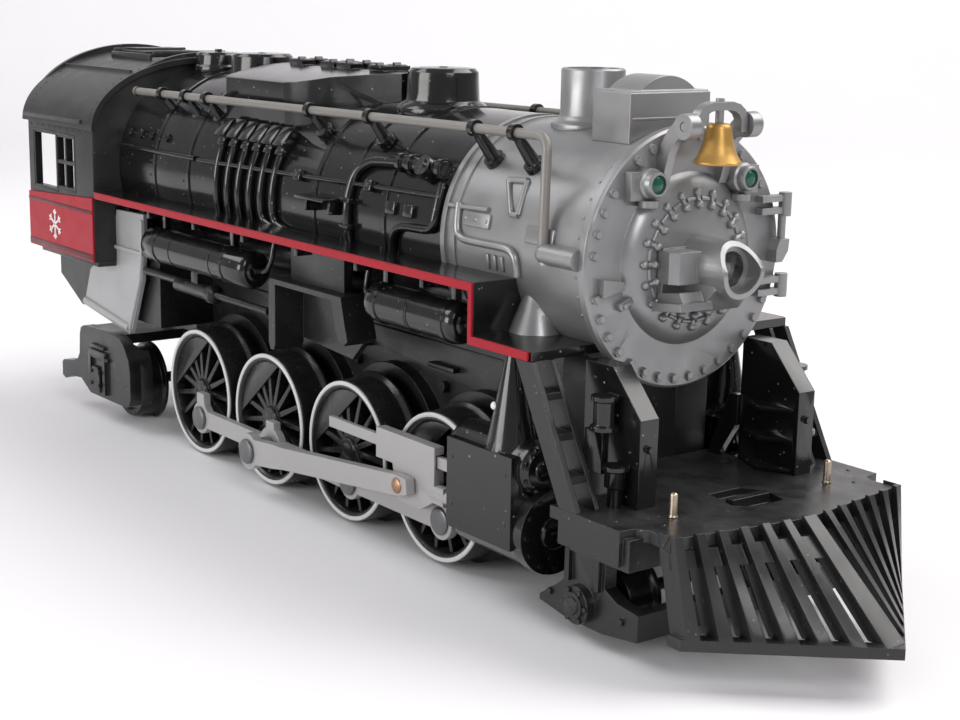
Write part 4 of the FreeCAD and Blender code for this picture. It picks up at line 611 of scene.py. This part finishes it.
def top_details():
    """Rounded lids with their handles on the casing, caps on the domes and bolts around their bases."""
    mesh = bmesh.new()
    up = Vector((0, 0, 1))
    casing_high = span("boiler_top_casing")[1].z
    lid_top = casing_high - 1.1
    for x in (-48.3, -30.3, -21.3, -5.3):
        for y in (-3, 3):
            add_slab(mesh, (x, y, lid_top), WORLD, (6.8, 3.9, 1.5), 0.7)
            add_rod(mesh, (x, y - 1.2, lid_top + 0.75), (x, y + 1.2, lid_top + 0.75), 0.55, sides=12)
    for x, radius, count in ((SAND_DOME_X, 12.3, 16), (TURRET_X, 8.1, 10)):
        for index in range(count):
            angle = 2 * math.pi * index / count
            y, dx = radius * math.sin(angle), radius * math.cos(angle)
            rise = FIREBOX_RISE if x == TURRET_X else 0
            z = AXIS_Z + math.sqrt(max(BARREL_RADIUS ** 2 - y * y, 0)) + rise + 0.4
            add_rivet(mesh, (x + dx, y, z), up, 0.45)
    for x, radius in ((SAND_DOME_X, 7.2), (REAR_DOME_X, 7.4), (TURRET_X, 5.2)):
        lid = [(0, radius), (0.35, radius - 0.3), (0.45, radius - 0.8), (0.45, TIP)]
        add_lathe(mesh, lid, (x, 0, casing_high - (1.1 if x == TURRET_X else 0.4)), up, 64)
        add_rod(mesh, (x, 0, casing_high - 1.0), (x, 0, casing_high + 0.3), 1.2)
    piece("top_details", mesh, "black_gloss", "chassis")


def heater_details():
    """A raised seam across the heater's box and two rivets at the smokestack's foot."""
    mesh = bmesh.new()
    low, high = span("feedwater_heater")
    add_box(mesh, (low.x + 0.6, low.y + 0.8, 119.2), (high.x + 0.15, high.y - 0.8, 119.9), 0.15)
    for x in (SMOKESTACK_X - 6.2, SMOKESTACK_X + 6.2):
        add_rivet(mesh, (x, 0, 119.6), (0, 0, 1), 0.5)
    piece("heater_details", mesh, "silver_paint", "chassis")


# ---------------------------------------------------------------------------
# cab
# ---------------------------------------------------------------------------


def cab_details():
    """Low frames round the windows, rivets under the eaves and the edge of the floor below."""
    # rear, front, sill and head of each window
    windows = ((-166.4, -146.6, 78.0, 98.3), (-147.0, -132.0, 79.0, 98.0))
    mesh = bmesh.new()
    for side in SIDES:
        face = side * (CAB_SIDE - 0.1)
        for low_x, high_x, low_z, high_z in windows:
            for z in (low_z, high_z):
                add_slab(mesh, ((low_x + high_x) / 2, face, z), WORLD, (high_x - low_x, 0.6, 0.7), 0.2)
            for x in (low_x, high_x):
                add_slab(mesh, (x, face, (low_z + high_z) / 2), WORLD, (0.7, 0.6, high_z - low_z), 0.2)
        for x in range(-168, -118, 5):
            add_rivet(mesh, (x, side * CAB_SIDE, 100.0), (0, side, 0), 0.4, 0.5)
    under = Vector((0, 0, -1.8))
    floor_low = Vector((cab_low.x + 6, 1 - CAB_SIDE, cab_low.z)) + under
    add_box(mesh, floor_low, (cab_high.x - 0.2, CAB_SIDE - 1, cab_low.z), 0.4)
    piece("cab_details", mesh, "cab_grey", "chassis")


def roof_details():
    """Rows of small rivets that follow the roof's arch, and a raised hatch with its rails."""
    mesh = bmesh.new()
    half, rise, eaves = roof_high.y - 0.6, 23.5, 101.0
    for x in (-168.5, -119.0):
        for step in range(3, 30):
            angle = math.pi * step / 32
            point = Vector((x, half * math.cos(angle), eaves + rise * math.sin(angle)))
            out = Vector((0, math.cos(angle) / half, math.sin(angle) / rise))
            add_rivet(mesh, point, out, 0.38)
    hatch_top = roof_high.z
    for side in SIDES:
        add_slab(mesh, (-143, side * 14.6, hatch_top - 3.2), WORLD, (30, 1.2, 2.6), 0.4)
    for x in (-158, -128):
        add_slab(mesh, (x, 0, hatch_top - 1.9), WORLD, (1.2, 28, 2.2), 0.4)
    piece("roof_details", mesh, "cab_grey", "chassis")


def side_panel_details():
    """Two dark bands along each red panel, and a plain six-armed snowflake between them."""
    low, high = span("cab_side_panels")
    bands = bmesh.new()
    flakes = bmesh.new()
    for side in SIDES:
        face = side * (high.y + 0.02)
        for z, height in ((low.z + 1.6, 2.0), (low.z + 16.6, 1.2)):
            add_slab(bands, ((low.x + high.x) / 2, face, z), WORLD, (high.x - low.x - 0.4, 0.3, height), 0.1)
        centre = Vector(((low.x + high.x) / 2 - 4, side * (high.y + 0.1), low.z + 9.4))
        for arm in range(6):
            angle = math.pi * arm / 3 + math.pi / 6
            reach = Vector((math.cos(angle), 0, math.sin(angle)))
            across = Vector((0, side, 0)).cross(reach)
            axes = (reach, across, Vector((0, side, 0)))
            add_slab(flakes, centre + reach * 2.6, axes, (5.2, 0.7, 0.35), 0.1)
            for sign in (-1, 1):
                branch = (reach + across * sign * 0.9).normalized()
                branch_axes = (branch, Vector((0, side, 0)).cross(branch), Vector((0, side, 0)))
                add_slab(flakes, centre + reach * 3.2 + branch * 0.9, branch_axes, (1.8, 0.55, 0.35), 0.1)
    piece("panel_bands", bands, "band_red", "chassis")
    piece("snowflakes", flakes, "snow_white", "chassis")


# ---------------------------------------------------------------------------
# lower details
# ---------------------------------------------------------------------------


def wheel_rims():
    """A white ring on each driving wheel's face, and a cap on its hub."""
    for index in range(1, 5):
        low, high = span(f"driving_wheels_{index}")
        centre_x, centre_z = (low.x + high.x) / 2, (low.z + high.z) / 2
        rims, caps = bmesh.new(), bmesh.new()
        for side in SIDES:
            out = Vector((0, side, 0))
            origin = Vector((centre_x, side * (high.y - 0.25), centre_z))
            rim = [(0, 18.5), (0.4, 18.55), (0.55, 18.8), (0.55, 19.4), (0.4, 19.7), (0, 19.8)]
            add_closed_lathe(rims, rim, origin, out, 128)
            cap = [(0, 2.6), (0.2, 2.5), (0.32, 2.1), (0.35, TIP)]
            add_lathe(caps, cap, origin, out, 32)
        piece(f"wheel_rims_{index}", rims, "rim_white", f"drivers_{index}")
        piece(f"hub_caps_{index}", caps, "wheel_black", f"drivers_{index}")


def cylinder_details():
    """Bolts around the cylinder heads, rivets on the cover and a white peg on the steam pipe."""
    mesh = bmesh.new()
    high = span("cylinder_blocks")[1]
    forward = Vector((1, 0, 0))
    for side in SIDES:
        for index in range(12):
            angle = 2 * math.pi * index / 12
            y = side * CYLINDER_SIDE + CYLINDER_BOLT_CIRCLE * math.cos(angle)
            z = CYLINDER_HEIGHT + CYLINDER_BOLT_CIRCLE * math.sin(angle)
            add_bolt(mesh, (high.x - 0.1, y, z), forward, 0.75, 0.5)
        for index in range(8):
            angle = 2 * math.pi * (index + 0.5) / 8
            y = side * CHEST_SIDE + CHEST_BOLT_CIRCLE * math.cos(angle)
            z = CHEST_HEIGHT + CHEST_BOLT_CIRCLE * math.sin(angle)
            add_bolt(mesh, (CHEST_FACE, y, z), forward, 0.65, 0.5)
        for x in (86.2, 107.2):
            for z in (25, 37):
                add_rivet(mesh, (x, side * 42, z), (0, side, 0), 0.45)
        head = [(0, 4.4), (0.5, 4.2), (1.0, 3.2), (1.1, TIP)]
        add_lathe(mesh, head, (high.x - 0.1, side * CYLINDER_SIDE, CYLINDER_HEIGHT), forward, 48)
        cap = [(0, 2.8), (0.5, 2.6), (0.9, 1.6), (1.0, TIP)]
        add_lathe(mesh, cap, (CHEST_CAP, side * CHEST_SIDE, CHEST_HEIGHT), forward, 40)
    piece("cylinder_bolts", mesh, "black_gloss", "chassis")
    pegs = bmesh.new()
    for side in SIDES:
        add_rivet(pegs, (99.0, side * 39.4, 52), (-0.25, side, 0.1), 1.0, 0.7)
    piece("steam_pipe_pegs", pegs, "snow_white", "chassis")


def frame_details():
    """Brake hangers between the wheels and panel lines along the chassis side."""
    mesh = bmesh.new()
    for side in SIDES:
        for x in (-45.3, -1.9, 41.5):
            add_slab(mesh, (x, side * 12.6, 47.5), WORLD, (12, 2.4, 1.4), 0.3)
            add_rod(mesh, (x, side * 11, 42), (x, side * 13.4, 42), 1.6)
        for z in (53.6, 58.6):
            add_slab(mesh, (-6, side * 11.6, z), WORLD, (184, 0.7, 0.6), 0.2)
    piece("frame_details", mesh, "black_plastic", "chassis")


def tank_details():
    """Seam rings, end plugs and the small pipe that joins the tanks."""
    mesh = bmesh.new()
    routes = []
    for side in SIDES:
        y = side * TANK_SIDE
        for low_x, high_x, z, radius in (REAR_TANK, FRONT_TANK):
            for x, turn in ((low_x, -1), (high_x, 1)):
                add_lathe(mesh, [(0, 3.2), (0.5, 2.6), (0.7, TIP)], (x, y, z), (turn, 0, 0), 40)
                add_rod(mesh, (x, y, z), (x + turn * 1.2, y, z), 1.0)
            inner, outer = radius - 0.1, radius + 0.15
            for band in (low_x + 20, high_x - 20):
                ring = [(-0.5, inner), (-0.5, outer), (0.5, outer), (0.5, inner)]
                add_closed_lathe(mesh, ring, (band, y, z), (1, 0, 0), 64)
        rear_pipe = (-23.5, -18, -16, REAR_TANK[2], 70)
        front_pipe = (41, 36, 34, FRONT_TANK[2], 71)
        for start, bend, rise_x, z, rise_z in (rear_pipe, front_pipe):
            routes.append((0.8, [
                (start, y, z), (bend, y, z), (rise_x, side * 33, rise_z), (rise_x, side * 32, 76),
                (rise_x, side * 31, TANK_PIPE_TOP),
            ]))
    piece("tank_details", mesh, "black_gloss", "chassis")
    pipes("tank_pipes", routes, "black_gloss", "chassis")


def pan_details():
    """A raised rib down the front edge of each ash-pan plate and a rounded lip along its foot."""
    mesh = bmesh.new()
    corners = ((-98.0, 73), (-98.4, 61.6), (-100.2, 52.6), (-108.6, 35.4), (-143.2, 39.8))
    radii = (0.7, 0.7, 0.7, 1.3)
    for side in SIDES:
        y = side * 33.9
        for (x0, z0), (x1, z1), radius in zip(corners, corners[1:], radii):
            add_rod(mesh, (x0, y, z0), (x1, y, z1), radius, sides=16)
    piece("pan_details", mesh, "light_grey", "chassis")


def truck_details():
    """Springs, bolts and caps on the two trucks' side frames."""
    lead, trail = bmesh.new(), bmesh.new()
    for side in SIDES:
        out = Vector((0, side, 0))
        for index in range(6):
            angle = 2 * math.pi * index / 6
            x, z = LEAD_AXLE_X + 3.9 * math.cos(angle), LEAD_AXLE_Z + 3.9 * math.sin(angle)
            point = Vector((x, side * 36.4, z))
            add_bolt(lead, point, out, 0.7, 0.6)
        cap = [(0, 2.2), (0.5, 2.0), (0.8, TIP)]
        add_lathe(lead, cap, (LEAD_AXLE_X, side * 37.1, LEAD_AXLE_Z), out, 32)
        for x in (115.4, 140.6):
            add_bolt(lead, (x, side * 34, 9.6), out, 1.0, 0.7)
        for x in (122.4, 132.8):
            ring = [(-0.4, 1.9), (0, 2.3), (0.4, 1.9), (0, 1.5)]
            add_closed_lathe(lead, ring, (x, side * 32.6, 24.0), (0, 0, 1), 24)
        for x in (-126.4, -120.6):
            add_bolt(trail, (x, side * 40.2, 18.4), out, 0.7, 0.5)
            add_bolt(trail, (x, side * 40.2, 14.2), out, 0.7, 0.5)
        for z in (23.4, 25.2, 27.0):
            add_slab(trail, (TRAIL_AXLE_X, side * 38.7, z), WORLD, (16 - (z - 23.4) * 1.6, 1.6, 1.2), 0.2)
    piece("pilot_truck_details", lead, "black_plastic", "pilot_truck")
    piece("trailing_truck_details", trail, "black_plastic", "trailing_truck")


def deck_details():
    """Small rivets on the deck and the shields, and a raised plate on each shield."""
    mesh = bmesh.new()
    up = Vector((0, 0, 1))
    deck = span("lift_pins")[0].z
    for side in SIDES:
        for x, y in ((130, 38), (142, 38), (150, 31)):
            add_rivet(mesh, (x, side * y, deck), up, 0.45)
        for x, z in ((122.4, 62), (135, 47)):
            add_rivet(mesh, (x, side * 28.3, z), (0, side, 0), 0.5)
        add_slab(mesh, (123.6, side * 28.8, 45), WORLD, (6.4, 1.2, 10), 0.3)
    piece("deck_details", mesh, "black_gloss", "chassis")


def board_details():
    """Brackets under the running boards."""
    mesh = bmesh.new()
    for side in SIDES:
        for x in (-80, -50, -20, 10, 40, 70):
            add_slab(mesh, (x, side * 38.0, BOARD_TOP - 3.4), WORLD, (1.6, 5, 2.6), 0.2)
    piece("board_details", mesh, "black_gloss", "chassis")


def rail_details():
    """A cap at each handrail's rear end and the thick elbow at its foot."""
    caps, elbows = bmesh.new(), bmesh.new()
    low, high = span("handrails")
    for side in SIDES:
        foot = Vector((106.4, side * 31.1, low.z + 1.6))
        add_rivet(elbows, foot, (1, 0, 0), 2.4, 1.0)
        add_rod(elbows, foot, (high.x, foot.y, foot.z), 2.5)
    piece("rail_elbows", elbows, "silver_paint", "chassis")
    for side in SIDES:
        cap = [(0, 1.5), (1.4, 1.5), (1.9, 1.1), (2.0, TIP)]
        add_lathe(caps, cap, (low.x + 1.2, side * 28.4, 114.0), (-1, 0, 0), 32)
    piece("rail_caps", caps, "rail_beige", "chassis")


def rivet_heads():
    """A copper rivet head on each main rod's front end."""
    for name in ("right", "left"):
        low, high = span(f"main_rod_{name}")
        mesh = bmesh.new()
        side = -1 if name == "right" else 1
        face = low.y if side < 0 else high.y
        x = high.x - 4.4
        head = [(0, 2.1), (0.3, 2.0), (0.62, 1.5), (0.75, TIP)]
        add_lathe(mesh, head, (x, face - side * 0.7, CYLINDER_HEIGHT), (0, side, 0), 36)
        piece(f"rod_rivet_head_{name}", mesh, "copper", f"main_rod_{name}")


def headlight_inside():
    """A cup behind the lamp's lens, open to the front, coloured near black as painted shade inside the lamp.
    """
    low, high = span("headlight_lens")
    centre_z = (low.z + high.z) / 2
    mesh = bmesh.new()
    cup = [
        (0, TIP), (0.05, 2.2), (1.0, 3.2), (2.6, 4.0), (5.0, 4.15),
        (5.0, 4.05), (2.7, 3.85), (1.2, 3.0), (0.4, 2.0), (0.4, TIP),
    ]
    add_lathe(mesh, cup, (low.x - 5.2, 0, centre_z), (1, 0, 0), 64)
    piece("headlight_shade_cup", mesh, "lamp_painted_shade", "chassis")


# ---------------------------------------------------------------------------
# stage
# ---------------------------------------------------------------------------


def stage():
    """A pale paper floor that curves up into the backdrop."""
    mesh = bmesh.new()
    depth = [(900, 0), (-900, 0), (-1100, 30), (-1230, 140), (-1290, 320), (-1300, 1400)]
    across = (-1800, 1800)
    heading = Vector((math.cos(CAMERA_HEADING), math.sin(CAMERA_HEADING), 0))
    side = heading.cross(Vector((0, 0, 1)))
    rows = []
    for along, z in depth:
        base = heading * -along * MM
        rise = Vector((0, 0, z * MM))
        rows.append([mesh.verts.new(base + side * (offset * MM) + rise) for offset in across])
    for first, second in zip(rows, rows[1:]):
        mesh.faces.new((first[0], first[1], second[1], second[0]))
    data = bpy.data.meshes.new("floor")
    mesh.to_mesh(data)
    mesh.free()
    data.polygons.foreach_set("use_smooth", [True] * len(data.polygons))
    floor = bpy.data.objects.new("floor", data)
    bpy.context.collection.objects.link(floor)
    smooth = floor.modifiers.new("curve", "SUBSURF")
    smooth.levels = 3
    smooth.render_levels = 3
    paper = bpy.data.materials.new("paper")
    paper.use_nodes = True
    tree = paper.node_tree
    shader = tree.nodes["Principled BSDF"]
    place = tree.nodes.new("ShaderNodeTexCoord").outputs["Object"]
    cloud = node_of(tree, "ShaderNodeTexNoise", Scale=3.0, Detail=4.0)
    tree.links.new(place, cloud.inputs["Vector"])
    tint = mix_colour(tree, cloud.outputs["Fac"], (0.80, 0.785, 0.80), (0.86, 0.85, 0.87))
    tree.links.new(tint, shader.inputs["Base Color"])
    shader.inputs["Roughness"].default_value = 0.85
    data.materials.append(paper)


def area_light(name, place, aim, size, power, colour):
    """A rectangular lamp at a place, aimed at a point."""
    light = bpy.data.lights.new(name, "AREA")
    light.shape = "RECTANGLE"
    light.size, light.size_y = size
    light.energy = power
    light.color = colour
    holder = bpy.data.objects.new(name, light)
    holder.location = Vector(place)
    holder.rotation_euler = (Vector(aim) - Vector(place)).to_track_quat("-Z", "Y").to_euler()
    bpy.context.collection.objects.link(holder)


def lights():
    """Soft lamps: a window to the left, one ahead, a fill to the right and one high behind; a pale room."""
    area_light("window", (0.35, 0.75, 1.05), (0, 0, 0.06), (1.2, 0.9), 16, (1.0, 0.985, 0.96))
    area_light("front", (1.15, -0.35, 0.75), (0.05, 0, 0.07), (0.5, 0.7), 6, (0.98, 0.98, 1.0))
    area_light("fill", (-0.25, -1.3, 0.34), (0, 0, 0.07), (0.9, 0.5), 9, (1.0, 0.99, 0.97))
    area_light("sky", (-0.75, -0.75, 1.15), (-0.05, 0, 0.1), (0.8, 0.8), 7, (0.98, 0.99, 1.0))
    world = bpy.data.worlds.new("room")
    world.use_nodes = True
    background = world.node_tree.nodes["Background"]
    background.inputs["Color"].default_value = (0.86, 0.85, 0.88, 1)
    background.inputs["Strength"].default_value = 0.42
    bpy.context.scene.world = world
    bpy.context.scene.view_settings.view_transform = "Standard"


CAMERA_HEADING = 2.493
CAMERA_PITCH = -0.211
CAMERA_ROLL = 0.019
CAMERA_PLACE = (411.74, -280.82, 147.6)
CAMERA_LENS = 64.26


def camera():
    """The viewing angle, with a slight roll."""
    forward = Vector((
        math.cos(CAMERA_PITCH) * math.cos(CAMERA_HEADING), math.cos(CAMERA_PITCH) * math.sin(CAMERA_HEADING),
        math.sin(CAMERA_PITCH),
    ))
    level_right = forward.cross(Vector((0, 0, 1))).normalized()
    level_up = level_right.cross(forward)
    right = math.cos(CAMERA_ROLL) * level_right + math.sin(CAMERA_ROLL) * level_up
    up = -math.sin(CAMERA_ROLL) * level_right + math.cos(CAMERA_ROLL) * level_up
    lens = bpy.data.cameras.new("camera")
    lens.lens = CAMERA_LENS
    lens.sensor_width = 36
    lens.clip_start = 0.01
    holder = bpy.data.objects.new("camera", lens)
    turn = Matrix((right, up, -forward)).transposed().to_4x4()
    holder.matrix_world = Matrix.Translation(Vector(CAMERA_PLACE) * MM) @ turn
    bpy.context.collection.objects.link(holder)
    bpy.context.scene.camera = holder


# ---------------------------------------------------------------------------
# build
# ---------------------------------------------------------------------------

finish_cad_nodes()
for side, side_name in zip(SIDES, ("right", "left")):
    valve_boxes(side, side_name)
    side_piping(side, side_name)
    washout_plugs(side, side_name)
    smokebox_fittings(side, side_name)
door_studs()
top_details()
heater_details()
cab_details()
roof_details()
side_panel_details()
wheel_rims()
cylinder_details()
frame_details()
tank_details()
pan_details()
truck_details()
deck_details()
board_details()
rail_details()
rivet_heads()
headlight_inside()
stage()
lights()
camera()
